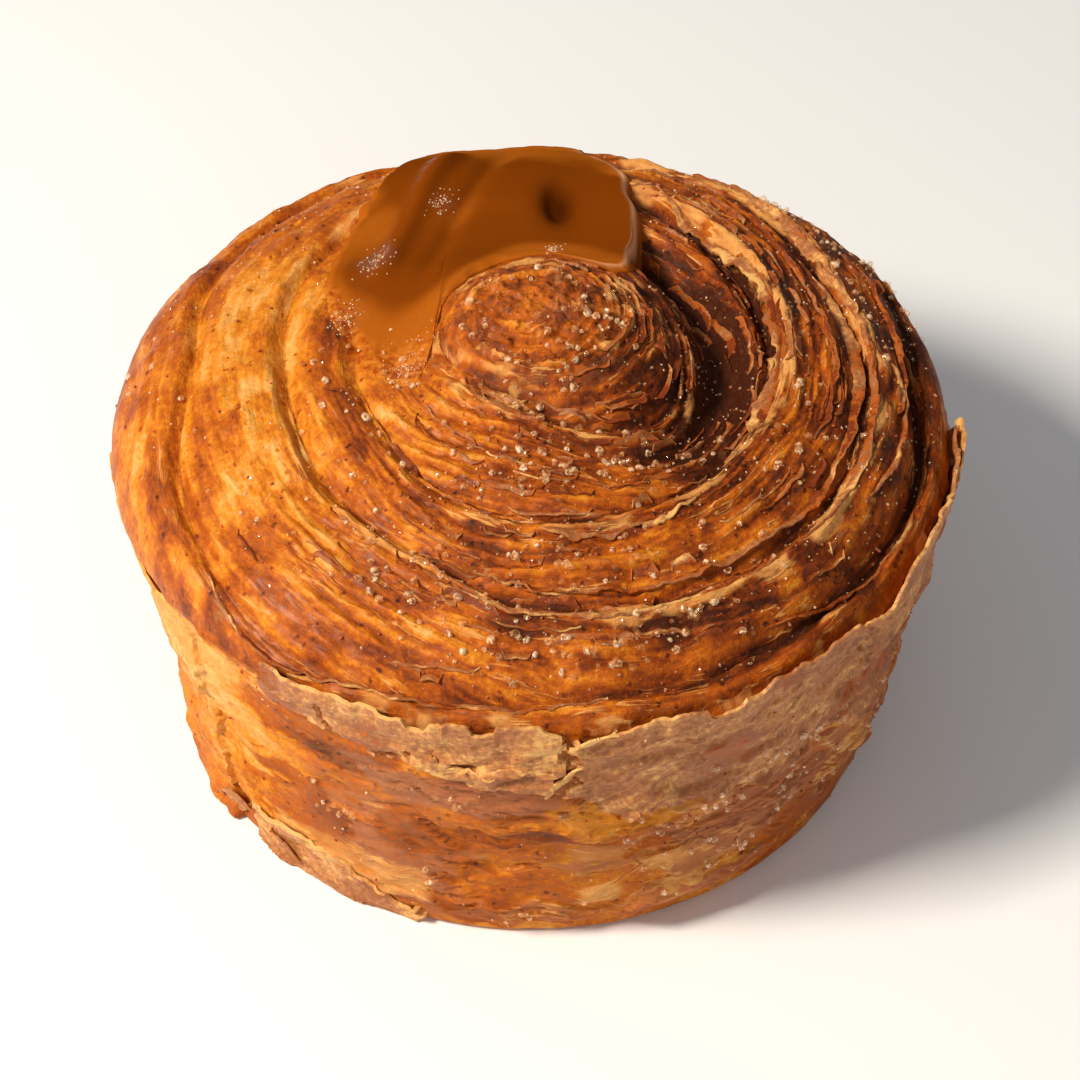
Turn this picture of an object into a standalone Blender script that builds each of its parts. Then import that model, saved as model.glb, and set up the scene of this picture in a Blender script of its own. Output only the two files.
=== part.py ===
"""A cruffin: a strip of laminated dough coiled up, baked in a muffin tin, with caramel poured over its back.

Run with: blender --background --python part.py

Sizes are in millimetres and angles in degrees until a mesh is made, which is in metres. Z is up, the
pastry stands on Z = 0 and its front is -Y. Angles run counter-clockwise from +X, seen from above.
"""
import math
import random

import bmesh
import bpy
import numpy as np
from mathutils import Matrix, Vector

MM = 0.001

# ---- driving dimensions ---------------------------------------------------------------------------

# The coil's axis stands a little off the middle of the whole, because the front leaves reach out further.
COIL_AXIS = (-0.12, 0.6)

RIM_HEIGHT = 39.5
FOOT_BEVEL = 0.7
KNOB_OFFSET = 1.7
CONTACT_GAP = 0.45

# (angle, radius) of the foot and of the rim, and (angle, height) of the crown where it meets the rim
FOOT_ROUND = ((-180, 39.6), (-130, 40.2), (-90, 40.4), (-45, 39.8), (0, 39.0), (90, 39.6))
RIM_ROUND = ((-180, 45.3), (-140, 44.8), (-90, 45.2), (-45, 45.0), (0, 44.6), (40, 44.7), (80, 45.4),
             (130, 46.0), (160, 45.8))
RIM_LEVEL = ((-180, 40.0), (-135, 38.8), (-90, 37.8), (-45, 38.8), (0, 40.2), (60, 39.6), (120, 39.6))
# (angle, radius) of the shoulder that rounds the crown over into the wall
RIM_SHOULDER = ((-180, 4.5), (-140, 3.0), (-100, 1.2), (-45, 1.2), (20, 2.0), (90, 3.0), (140, 3.6))
# (angle, power) of the wall's curve from foot to rim: above 1 it is hollow, below 1 it bulges
WALL_CURVE = ((-180, 2.3), (-135, 1.7), (-90, 0.9), (-20, 0.8), (60, 0.9), (130, 1.4))
# (distance from the axis, height) of the crown, from the knob out to the rim
CROWN_PROFILE = ((0, 54.2), (5, 53.4), (9, 51.9), (11.5, 50.0), (15, 48.4), (20, 47.3), (25, 46.8),
                 (30, 46.0), (35, 44.6), (40, 42.4), (45, RIM_HEIGHT))

# The coil's inner edge: (angle unrolled from the knob outwards, radius)
COIL_EDGE = ((-1080, 3.0), (-900, 5.5), (-720, 9.5), (-540, 9.5), (-450, 11.5), (-406, 17.0), (-360, 15.4),
             (-331, 14.2), (-270, 15.0), (-212, 17.9), (-180, 18.6), (-135, 20.0), (-116, 22.6), (-90, 24.8),
             (-30, 25.4), (0, 25.4), (35, 26.6), (63, 29.0), (100, 29.6), (155, 27.7), (188, 25.8),
             (223, 28.1), (248, 30.3), (268, 33.8), (289, 35.4), (328, 36.0), (352, 35.2), (383, 34.8),
             (410, 38.0), (440, 40.5), (480, 41.0), (519, 38.5), (537, 36.0), (560, 38.7), (575, 40.9),
             (594, 43.4), (630, 43.0), (680, 42.6), (705, 42.0), (720, 41.0), (745, 43.0))
EDGE_TURNS = (-2, -1, 0, 1, 2, 3)
# How high the coil's inner edge stands and how deep the crease inside it is: (unrolled angle, size)
EDGE_LIP = ((-1080, 0.1), (-450, 0.3), (-360, 0.5), (-270, 0.3), (-150, 0.3), (-90, 0.6), (-30, 0.9),
            (0, 1.5), (60, 1.6), (110, 0.6), (188, 0.4), (270, 0.8), (360, 0.9), (420, 0.7), (540, 0.4),
            (575, 0.5), (640, 0.3), (745, 0.3))
EDGE_CREASE = ((-1080, 0.1), (-450, 0.4), (-360, 0.4), (-270, 0.4), (-180, 0.5), (-90, 0.6), (-30, 1.2),
               (0, 1.9), (60, 1.6), (110, 0.6), (188, 0.9), (270, 0.7), (360, 1.0), (420, 0.8), (540, 1.0),
               (575, 0.9), (630, 0.7), (680, 1.6), (705, 2.4), (725, 1.6), (745, 0.4))
LIP_WIDTH = 1.9
LIP_SET_BACK = 1.8
CREASE_WIDTH = 1.5
COIL_SWELL = 0.7

# The hollow round the knob: (angle, radius of its deepest line) and (angle, depth)
MOAT_LINE = ((-180, 14.0), (-90, 17.5), (-52, 20.6), (-20, 20.6), (10, 19.6), (50, 20.5), (120, 17.0))
MOAT_DEPTH = ((-180, 1.2), (-130, 0.3), (-90, 0.4), (-60, 1.4), (-30, 3.6), (0, 4.8), (45, 5.2), (80, 3.6),
              (130, 2.4))
MOAT_WIDTH = 3.0
# Share of the hollow's depth left where caramel fills it
COVERED = 0.5

TOP_RINGS = 33
WALL_RINGS = 9
SEGMENTS = 76

# Leaves that stand proud of the wall: start and end angle, how far the foot and the top of each lie from
# the rim's level, how far the foot and the top stand out from the wall, and the leaf's thickness
LEAVES = (
    {"name": "outer_leaf", "from": -84.2, "to": -2.3, "foot": -17.0, "top": 1.2, "out": (0.5, 1.8),
     "thick": 1.0, "ragged": 0.8},
    {"name": "front_leaf", "from": -133.3, "to": -85.6, "foot": -7.0, "top": -0.2, "out": (0.5, 0.6),
     "thick": 1.3, "ragged": 0.9},
    {"name": "left_leaf", "from": -210.4, "to": -143.2, "foot": -37.5, "top": -8.5, "out": (0.9, 0.3),
     "thick": 1.6, "ragged": 0.8},
    {"name": "low_leaf", "from": -131.6, "to": -104.3, "foot": -36.0, "top": -29.0, "out": (0.6, 0.3),
     "thick": 1.4, "ragged": 0.7},
    {"name": "torn_scrap", "from": -91.3, "to": -84.9, "foot": -13.0, "top": -5.5, "out": (1.3, 0.7),
     "thick": 1.5, "ragged": 0.2},
    {"name": "curled_flap", "from": -86.4, "to": -79.7, "foot": -3.5, "top": 0.2, "out": (0.8, 1.8),
     "thick": 1.0, "ragged": 0.3},
)
# A leaf narrower than this tapers to a point at its foot
SCRAP_WIDTH = 10.0
LEAF_STEP = 4.5
LEAF_ROWS = 4

# Caramel: its outline as (x, y) from the coil's axis, starting beside the knob's right and going round
CARAMEL_OUTLINE = ((10.6, 10.6), (12.2, 17.0), (12.4, 22.5), (11.0, 29.5), (8.4, 37.0), (5.8, 42.6),
                   (0.0, 44.2), (-7.0, 43.4), (-12.6, 41.4), (-16.0, 34.0), (-19.3, 23.0), (-22.0, 13.0),
                   (-21.0, 3.0), (-16.0, -5.0), (-12.0, -6.8), (-10.3, -2.0), (-9.2, 5.0), (-5.0, 10.2),
                   (1.7, 12.4), (6.8, 11.4))
CARAMEL_MIDDLE = (-9.0, 20.0)
# (distance back from the axis, height) of the caramel's top along its middle
CARAMEL_TOP = ((-8, 47.6), (0, 48.6), (11, 50.1), (15, 49.2), (20, 48.7), (25, 48.8), (30, 48.0), (35, 46.0),
               (40, 43.0), (44, 40.1), (46, 38.8))
# Folds across the pour: (x where it crosses the middle, how far x moves on along y, height, width)
CARAMEL_FOLDS = ((-13.4, 0.27, 1.1, 1.6), (-8.3, 0.32, -0.55, 1.4))
FOLD_FRONT = (6.0, 14.0)
FOLD_BACK = (42.0, 34.0)
# A thumb-sized dent in the pour: where it is, how much longer it is along y, its depth and its width
DIMPLE_SPOT = (3.3, 23.8)
DIMPLE_STRETCH = 1.9
DIMPLE_DEPTH = 2.2
DIMPLE_WIDTH = 1.8
CARAMEL_FILM = 0.8
CARAMEL_EDGE = 1.6
CARAMEL_LIP = 0.9
CARAMEL_THIN_LEFT = 1.3
CARAMEL_SOFTNESS = 0.6
CARAMEL_SPOKES = 48
CARAMEL_RINGS = 8
CARAMEL_ROOT = 37.4

SUGAR_GRAINS = 80
SUGAR_RADIUS = (0.62, 0.80)
SUGAR_SEED = 11

# ---- curves and humps -------------------------------------------------------------------------------


def smoothstep(low, high, x):
    t = np.clip((x - low) / (high - low), 0.0, 1.0)
    return t * t * (3.0 - 2.0 * t)


def hump(distance, width):
    return np.exp(-(distance / width) ** 2)


def through(knots, x):
    """Smooth curve through (x, y) knots, level beyond its ends."""
    knot_x = np.array([knot[0] for knot in knots], float)
    knot_y = np.array([knot[1] for knot in knots], float)
    slope = np.gradient(knot_y, knot_x)
    x = np.clip(x, knot_x[0], knot_x[-1])
    i = np.clip(np.searchsorted(knot_x, x, side="right") - 1, 0, len(knot_x) - 2)
    span = knot_x[i + 1] - knot_x[i]
    t = (x - knot_x[i]) / span
    start = (1 + 2 * t) * (1 - t) ** 2 * knot_y[i] + t * (1 - t) ** 2 * span * slope[i]
    end = t * t * (3 - 2 * t) * knot_y[i + 1] + t * t * (t - 1) * span * slope[i + 1]
    return start + end


def around(knots, angle):
    """Smooth curve through (angle, value) knots that closes on itself after a full turn."""
    before = [(a - 360, value) for a, value in knots]
    after = [(a + 360, value) for a, value in knots]
    return through(before + list(knots) + after, (np.asarray(angle) + 180.0) % 360.0 - 180.0)


def unevenness(u, v):
    """A slow, irregular wave between about -1 and 1."""
    return (np.sin(1.3 * u + 0.7) + np.sin(0.8 * u + 1.9 * v + 2.1)
            + np.sin(2.3 * v - 0.6 * u + 4.0) + np.sin(2.9 * u + 1.1 * v + 5.2)) / 2.6

# ---- the pastry's surface ---------------------------------------------------------------------------


def coil_relief(radius, angle):
    """Lips, creases and swell of the coil, from where its edge passes on each turn."""
    relief = np.zeros_like(radius)
    edges = []
    for turn in EDGE_TURNS:
        unrolled = angle + 360.0 * turn
        edge = through(COIL_EDGE, unrolled)
        edges.append(edge)
        inside = np.where(unrolled > COIL_EDGE[-1][0], 0.0, 1.0)
        lip = through(EDGE_LIP, unrolled) * hump(radius - edge - LIP_SET_BACK, LIP_WIDTH)
        crease = through(EDGE_CREASE, unrolled) * hump(radius - edge, CREASE_WIDTH)
        relief += inside * (lip - crease)
    for inner, outer in zip(edges, edges[1:]):
        width = np.maximum(outer - inner, 0.1)
        across = np.clip((radius - inner) / width, 0.0, 1.0)
        relief += COIL_SWELL * np.sin(np.pi * across) * smoothstep(3.0, 8.0, width) * smoothstep(9, 14, radius)
    return relief


def caramel_outline():
    """Smooth closed outline round the pour, as x and y from its middle."""
    points = np.array(CARAMEL_OUTLINE) - np.array(CARAMEL_MIDDLE)
    laps = np.vstack((points, points, points))
    steps = range(len(laps))
    t = np.linspace(len(points), 2 * len(points), CARAMEL_SPOKES, endpoint=False)
    return through(list(zip(steps, laps[:, 0])), t), through(list(zip(steps, laps[:, 1])), t)


def inside_caramel(x, y):
    """Distance inside the caramel's outline, along the line to its middle; negative outside."""
    rim_x, rim_y = caramel_outline()
    spoke, reach = np.arctan2(rim_y, rim_x), np.hypot(rim_x, rim_y)
    dx, dy = x - CARAMEL_MIDDLE[0], y - CARAMEL_MIDDLE[1]
    return np.interp(np.arctan2(dy, dx), spoke, reach, period=math.tau) - np.hypot(dx, dy)


def crown_height(x, y):
    """Height of the pastry's top at a point measured from the coil's axis."""
    radius = np.hypot(x, y)
    angle = np.degrees(np.arctan2(y, x))
    from_knob = np.hypot(x - KNOB_OFFSET, y)
    outside_knob = smoothstep(11.0, 24.0, radius)
    height = through(CROWN_PROFILE, from_knob * (1 - outside_knob) + radius * outside_knob)
    height += (around(RIM_LEVEL, angle) - RIM_HEIGHT) * smoothstep(15.0, 45.0, radius)
    bare = 1.0 - smoothstep(0.0, 4.0, inside_caramel(x, y))
    moat = hump(radius - around(MOAT_LINE, angle), MOAT_WIDTH)
    height -= around(MOAT_DEPTH, angle) * moat * (COVERED + (1 - COVERED) * bare)
    height += coil_relief(radius, angle) * bare
    height += 0.35 * unevenness(x / 6.0, y / 6.0) * smoothstep(4.0, 16.0, radius)
    rim = around(RIM_ROUND, angle)
    shoulder = around(RIM_SHOULDER, angle)
    over = np.clip((radius - (rim - shoulder)) / shoulder, 0.0, 1.0)
    return height - shoulder * (1.0 - np.sqrt(1.0 - over ** 2))


def rim_top(angle):
    """Height at which the wall begins, under the shoulder."""
    radius = around(RIM_ROUND, angle)
    turn = np.radians(angle)
    return crown_height(radius * np.cos(turn), radius * np.sin(turn))


def wall_radius(angle, height):
    """Distance of the wall's surface from the coil's axis."""
    share = np.clip(height / rim_top(angle), 0.0, 1.0)
    foot = around(FOOT_ROUND, angle)
    radius = foot + (around(RIM_ROUND, angle) - foot) * share ** around(WALL_CURVE, angle)
    turn = np.radians(angle)
    strata = 0.35 * unevenness(3.0 * np.cos(turn), height / 5.0 + 2.0 * np.sin(turn))
    return radius + strata * smoothstep(0.0, 4.0, height) * smoothstep(1.0, 0.85, share)

# ---- mesh helpers -----------------------------------------------------------------------------------


def place(points):
    """Millimetres from the coil's axis to metres in the part's own frame."""
    return (np.asarray(points, float) + np.array([COIL_AXIS[0], COIL_AXIS[1], 0.0])) * MM


def add_object(name, bm, material=None):
    mesh = bpy.data.meshes.new(name)
    bm.to_mesh(mesh)
    bm.free()
    obj = bpy.data.objects.new(name, mesh)
    bpy.context.scene.collection.objects.link(obj)
    if material:
        mesh.materials.append(material)
    return obj


def food_material(name, colour, roughness):
    material = bpy.data.materials.new(name)
    material.use_nodes = True
    shader = material.node_tree.nodes["Principled BSDF"]
    shader.inputs["Base Color"].default_value = (*colour, 1.0)
    shader.inputs["Roughness"].default_value = roughness
    shader.inputs["Metallic"].default_value = 0.0
    return material


def closed_sheet(bm, outer, inner):
    """Two grids of points, one over the other, joined round their edges into a thin closed body."""
    rows, columns = outer.shape[:2]
    front = [[bm.verts.new(outer[i, j]) for j in range(columns)] for i in range(rows)]
    rear = [[bm.verts.new(inner[i, j]) for j in range(columns)] for i in range(rows)]
    for i in range(rows - 1):
        for j in range(columns - 1):
            bm.faces.new((front[i][j], front[i][j + 1], front[i + 1][j + 1], front[i + 1][j]))
            bm.faces.new((rear[i][j], rear[i + 1][j], rear[i + 1][j + 1], rear[i][j + 1]))
    border = [(0, j) for j in range(columns)] + [(i, columns - 1) for i in range(1, rows)]
    border += [(rows - 1, j) for j in range(columns - 2, -1, -1)] + [(i, 0) for i in range(rows - 2, 0, -1)]
    for (i, j), (k, l) in zip(border, border[1:] + border[:1]):
        bm.faces.new((front[k][l], front[i][j], rear[i][j], rear[k][l]))
    bmesh.ops.triangulate(bm, faces=bm.faces[:])
    bmesh.ops.recalc_face_normals(bm, faces=bm.faces[:])

# ---- the pieces -------------------------------------------------------------------------------------


def pastry_body():
    """The coiled dough: a profile spun round the axis, then given its crown, coil and wall."""
    bm = bmesh.new()
    top = [(ring / TOP_RINGS) ** 0.9 for ring in range(TOP_RINGS + 1)]
    profile = [(share * 2.0, 1.0) for share in top]
    profile += [(2.0, 1.0 - ring / WALL_RINGS) for ring in range(1, WALL_RINGS + 1)]
    profile += [(1.0, -1.0)]
    chain = [bm.verts.new((radius, 0.0, height)) for radius, height in profile]
    edges = [bm.edges.new(pair) for pair in zip(chain, chain[1:])]
    bmesh.ops.spin(bm, geom=chain + edges, cent=(0, 0, 0), axis=(0, 0, 1), angle=math.tau,
                   steps=SEGMENTS, use_duplicate=False)
    bmesh.ops.remove_doubles(bm, verts=bm.verts[:], dist=1e-5)
    foot = [edge for edge in bm.edges if all(vert.co.z < -0.5 for vert in edge.verts)]
    bmesh.ops.contextual_create(bm, geom=foot)
    nominal = np.array([vert.co[:] for vert in bm.verts])
    spun, level = np.hypot(nominal[:, 0], nominal[:, 1]), nominal[:, 2]
    angle = np.degrees(np.arctan2(nominal[:, 1], nominal[:, 0]))
    turn = np.radians(angle)
    on_crown = level > 0.999
    on_foot = level < -0.5
    height = rim_top(angle) * np.clip(level, 0.0, 1.0)
    radius = np.where(on_crown, around(RIM_ROUND, angle) * spun / 2.0, wall_radius(angle, height))
    radius = np.where(on_foot, around(FOOT_ROUND, angle) - FOOT_BEVEL, radius)
    height = np.where(level < 0.001, np.where(on_foot, 0.0, FOOT_BEVEL), height)
    x, y = radius * np.cos(turn), radius * np.sin(turn)
    height = np.where(on_crown, crown_height(x, y), height)
    for vert, point in zip(bm.verts, place(np.column_stack((x, y, height)))):
        vert.co = point
    bmesh.ops.triangulate(bm, faces=bm.faces[:])
    bmesh.ops.recalc_face_normals(bm, faces=bm.faces[:])
    return bm


def leaf_sheet(leaf):
    """A leaf of dough lying against the wall, its inner face sunk in it and its top edge torn."""
    columns = max(4, round((leaf["to"] - leaf["from"]) / LEAF_STEP) + 1)
    angle = np.linspace(leaf["from"], leaf["to"], columns)[:, None]
    share = np.linspace(0.0, 1.0, LEAF_ROWS + 1)[None, :]
    width = leaf["to"] - leaf["from"]
    end = smoothstep(0.0, 0.12, np.minimum(angle - leaf["from"], leaf["to"] - angle) / width)
    torn = leaf["ragged"] * unevenness(angle / 5.0 + len(leaf["name"]), 1.7)
    level = around(RIM_LEVEL, angle)
    foot = np.maximum(level + leaf["foot"] + torn * (1 if leaf["foot"] > -34 else 0.6), 1.8)
    top = level + leaf["top"] + 0.6 * torn - 1.2 * (1 - end)
    height = foot + (top - foot) * share
    out_foot, out_top = leaf["out"]
    out = (out_foot + (out_top - out_foot) * share ** 2) * (0.35 + 0.65 * end)
    if width < SCRAP_WIDTH:
        angle = leaf["from"] + (angle - leaf["from"]) * (0.25 + 0.75 * share)
    wall = wall_radius(angle, np.minimum(height, rim_top(angle)))
    turn = np.radians(angle)

    def grid(radius):
        return place(np.stack((radius * np.cos(turn), radius * np.sin(turn), height), axis=-1))

    bm = bmesh.new()
    closed_sheet(bm, grid(wall + out), grid(wall + out - leaf["thick"] - 0.4))
    return bm


def caramel_thickness(x, y, inset):
    """How thick the caramel lies on the pastry; inset is 0 at its edge and 1 well inside."""
    poured = through(CARAMEL_TOP, y) - crown_height(x, y) - CONTACT_GAP
    poured -= CARAMEL_THIN_LEFT * smoothstep(-8.0, -21.0, x)
    for start, slope, height, width in CARAMEL_FOLDS:
        fold = hump(x - start - slope * (y - CARAMEL_MIDDLE[1]), width)
        poured += height * fold * smoothstep(*FOLD_FRONT, y) * smoothstep(*FOLD_BACK, y)
    dent = np.hypot(x - DIMPLE_SPOT[0], (y - DIMPLE_SPOT[1]) / DIMPLE_STRETCH)
    poured -= DIMPLE_DEPTH * hump(dent, DIMPLE_WIDTH)
    full = CARAMEL_FILM + CARAMEL_SOFTNESS * np.logaddexp(0.0, (poured - CARAMEL_FILM) / CARAMEL_SOFTNESS)
    return CARAMEL_LIP + (full - CARAMEL_LIP) * np.sqrt(1.0 - (1.0 - inset) ** 2)


def caramel_body():
    """The caramel as poured: its own folded top over a root that reaches down into the pastry."""
    rim_x, rim_y = caramel_outline()
    bm = bmesh.new()
    top = []
    for share in [(ring / CARAMEL_RINGS) ** 0.8 for ring in range(1, CARAMEL_RINGS + 1)]:
        x = CARAMEL_MIDDLE[0] + rim_x * share
        y = CARAMEL_MIDDLE[1] + rim_y * share
        inset = np.clip(np.hypot(rim_x, rim_y) * (1.0 - share) / CARAMEL_EDGE, 0.0, 1.0)
        points = np.column_stack((x, y, crown_height(x, y) + CONTACT_GAP + caramel_thickness(x, y, inset)))
        top.append([bm.verts.new(point) for point in place(points)])
    middle_x, middle_y = np.array(CARAMEL_MIDDLE[:1]), np.array(CARAMEL_MIDDLE[1:])
    peak = crown_height(middle_x, middle_y) + CONTACT_GAP + caramel_thickness(middle_x, middle_y, 1.0)
    hub = bm.verts.new(place([*CARAMEL_MIDDLE, peak[0]]))
    for i in range(CARAMEL_SPOKES):
        k = (i + 1) % CARAMEL_SPOKES
        bm.faces.new((hub, top[0][i], top[0][k]))
        for inner, outer in zip(top, top[1:]):
            bm.faces.new((inner[i], outer[i], outer[k], inner[k]))
    skirt = [edge for edge in bm.edges if edge.is_boundary]
    drop = bmesh.ops.extrude_edge_only(bm, edges=skirt)["geom"]
    for vert in (item for item in drop if isinstance(item, bmesh.types.BMVert)):
        vert.co.z = CARAMEL_ROOT * MM
    bmesh.ops.contextual_create(bm, geom=[edge for edge in bm.edges if edge.is_boundary])
    bmesh.ops.triangulate(bm, faces=bm.faces[:])
    bmesh.ops.recalc_face_normals(bm, faces=bm.faces[:])
    return bm


def sugar_spots():
    """Seeded places for the coarse sugar, thickest in the front half and in the coil's creases."""
    rng = random.Random(SUGAR_SEED)
    spots = []
    while len(spots) < SUGAR_GRAINS:
        angle = rng.uniform(-180.0, 180.0)
        turn = math.radians(angle)
        size = rng.uniform(*SUGAR_RADIUS)
        facing_front = 0.5 - 0.5 * math.sin(turn)
        if rng.random() < 0.22:
            height = rng.uniform(5.0, 32.0)
            radius = float(wall_radius(angle, height))
            keep = 0.15 + 0.7 * facing_front * smoothstep(-1.0, 0.2, math.cos(turn))
        else:
            radius = math.sqrt(rng.uniform(3.0 ** 2, 43.5 ** 2))
            height = None
            on_left = smoothstep(-0.2, -0.9, math.cos(turn))
            keep = (0.12 + 0.8 * facing_front) * (1.0 - 0.75 * on_left)
        x, y = radius * math.cos(turn), radius * math.sin(turn)
        far = all((x - s[0]) ** 2 + (y - s[1]) ** 2 > 2.6 ** 2 for s in spots)
        if rng.random() > keep or not far or inside_caramel(x, y) > -2.0:
            continue
        if height is None:
            height = float(crown_height(np.array([x]), np.array([y]))[0])
        spots.append((x, y, height, size))
    return spots


def sugar_crystal(spot, index):
    """One grain of coarse sugar, a faceted lump half sunk in the dough."""
    x, y, height, size = spot
    rng = random.Random(SUGAR_SEED + index)
    bm = bmesh.new()
    bmesh.ops.create_icosphere(bm, subdivisions=1, radius=size * MM)
    tilt = Matrix.Rotation(rng.uniform(0, math.tau), 4, Vector((rng.random(), rng.random(), 1.0)))
    bmesh.ops.scale(bm, vec=(1.0, rng.uniform(0.8, 1.0), rng.uniform(0.85, 1.1)), verts=bm.verts)
    centre = place([[x, y, height + 0.15 * size]])[0]
    bmesh.ops.transform(bm, matrix=Matrix.Translation(Vector(centre)) @ tilt, verts=bm.verts)
    return bm


def apply_boolean(body, operation, operands):
    """A Boolean of the body with a whole collection, applied, and the collection's objects removed."""
    boolean = body.modifiers.new(operation.title(), "BOOLEAN")
    boolean.operation = operation
    boolean.operand_type = "COLLECTION"
    boolean.collection = operands
    boolean.solver = "EXACT"
    bpy.context.view_layer.update()
    result = bpy.data.meshes.new_from_object(body.evaluated_get(bpy.context.evaluated_depsgraph_get()))
    body.modifiers.remove(boolean)
    body.data = result
    for obj in list(operands.objects):
        bpy.data.objects.remove(obj, do_unlink=True)
    bpy.data.collections.remove(operands)


def tool_collection(name, pieces):
    """A collection of operand objects made from (name, bmesh) pairs."""
    tools = bpy.data.collections.new(name)
    bpy.context.scene.collection.children.link(tools)
    for piece_name, bm in pieces:
        obj = add_object(piece_name, bm)
        bpy.context.scene.collection.objects.unlink(obj)
        tools.objects.link(obj)
    return tools


def make_pastry():
    """The dough with its leaves and its coarse sugar fused on."""
    crust = food_material("pastry", (0.52, 0.20, 0.045), 0.55)
    pastry = add_object("pastry", pastry_body(), crust)
    pieces = [(leaf["name"], leaf_sheet(leaf)) for leaf in LEAVES]
    pieces += [(f"sugar_{i}", sugar_crystal(spot, i)) for i, spot in enumerate(sugar_spots())]
    apply_boolean(pastry, "UNION", tool_collection("leaves_and_sugar", pieces))
    pastry.data.shade_smooth()
    pastry.data.set_sharp_from_angle(angle=math.radians(40))


def make_caramel():
    """The pour, cut away by the dough lifted a contact gap, so that its underside follows the coil."""
    glaze = food_material("caramel", (0.30, 0.085, 0.008), 0.12)
    caramel = add_object("caramel", caramel_body(), glaze)
    lifted = pastry_body()
    bmesh.ops.translate(lifted, vec=(0.0, 0.0, CONTACT_GAP * MM), verts=lifted.verts)
    apply_boolean(caramel, "DIFFERENCE", tool_collection("dough_below", [("lifted_dough", lifted)]))
    caramel.data.shade_smooth()


def main():
    for obj in list(bpy.data.objects):
        bpy.data.objects.remove(obj, do_unlink=True)
    make_pastry()
    make_caramel()


main()
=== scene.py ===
"""Looks for a cruffin: coiled, laminated dough with caramel poured over its back and coarse sugar on top.

Sizes are in millimetres from the coil's axis and angles in degrees, counter-clockwise from +X seen from
above, until a mesh is made in metres. Z is up, the pastry stands on Z = 0 and its front is -Y.
"""
import math

import bpy
import numpy as np
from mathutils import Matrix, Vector


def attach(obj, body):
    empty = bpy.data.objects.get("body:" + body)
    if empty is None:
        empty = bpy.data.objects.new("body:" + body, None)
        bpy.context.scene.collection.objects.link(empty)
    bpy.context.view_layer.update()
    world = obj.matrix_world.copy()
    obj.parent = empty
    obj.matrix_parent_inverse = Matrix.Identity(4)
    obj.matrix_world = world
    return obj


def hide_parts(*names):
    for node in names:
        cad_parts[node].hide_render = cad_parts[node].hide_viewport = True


bl_info = {
    "name": "Cruffin",
    "version": (1, 0, 0),
    "blender": (4, 5, 0),
    "location": "3D View > Sidebar > Cruffin",
    "description": "A coiled, laminated pastry with caramel and coarse sugar",
    "category": "Object",
}

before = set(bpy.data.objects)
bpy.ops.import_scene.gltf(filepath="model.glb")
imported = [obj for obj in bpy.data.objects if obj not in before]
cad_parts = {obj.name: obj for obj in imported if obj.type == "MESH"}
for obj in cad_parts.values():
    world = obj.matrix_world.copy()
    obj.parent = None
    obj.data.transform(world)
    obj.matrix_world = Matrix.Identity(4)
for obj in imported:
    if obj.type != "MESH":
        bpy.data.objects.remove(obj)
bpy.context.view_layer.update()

MM = 0.001
BODY = "root"
CRUST_FINISH = "baked_crust"

# ---- the coil's driving dimensions ------------------------------------------------------------------

# Where the coil's axis stands in the part's frame, and how far to its right the knob's middle lies
COIL_AXIS = (-0.12, 0.6)
KNOB_OFFSET = 1.7
RIM_HEIGHT = 39.5
FOOT_BEVEL = 0.7
# Usual distances of the wall and the rim from the axis, which turn lengths round them into angles
WALL_REACH = 43.0
RIM_REACH = 45.0
# How far crown and wall swell and sink from their even form, and the relief of their fine fibres, of the
# blisters on crown, knob and wall, and of the wall's upright folds on the left
UNEVEN = 0.35
FIBRE_RELIEF = 0.08
CROWN_BLISTERS = 0.24
KNOB_BLISTERS = 0.24
WALL_BLISTERS = 0.28
WALL_FOLDS = 0.55
# Where the knob's top and its side end, by distance from its middle
KNOB_TOP = (6.0, 12.0)
KNOB_SIDE = (10.0, 14.0)
# Farther than anything on the pastry
FAR = 1e3

# By angle: radius of the foot and of the rim, height of the crown at the rim, how far the shoulder rolls
# over, and how the wall curves between foot and rim; then the crown's height by distance from the knob
FOOT_ROUND = ((-180, 39.6), (-130, 40.2), (-90, 40.4), (-45, 39.8), (0, 39.0), (90, 39.6))
RIM_ROUND = ((-180, 45.3), (-140, 44.8), (-90, 45.2), (-45, 45.0), (0, 44.6), (40, 44.7), (80, 45.4),
             (130, 46.0), (160, 45.8))
RIM_LEVEL = ((-180, 40.0), (-135, 38.8), (-90, 37.8), (-45, 38.8), (0, 40.2), (60, 39.6), (120, 39.6))
RIM_SHOULDER = ((-180, 4.5), (-140, 3.0), (-100, 1.2), (-45, 1.2), (20, 2.0), (90, 3.0), (140, 3.6))
WALL_CURVE = ((-180, 2.3), (-135, 1.7), (-90, 0.9), (-20, 0.8), (60, 0.9), (130, 1.4))
CROWN_PROFILE = ((0, 54.2), (5, 53.4), (9, 51.9), (11.5, 50.0), (15, 48.4), (20, 47.3), (25, 46.8),
                 (30, 46.0), (35, 44.6), (40, 42.4), (45, RIM_HEIGHT))

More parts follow.
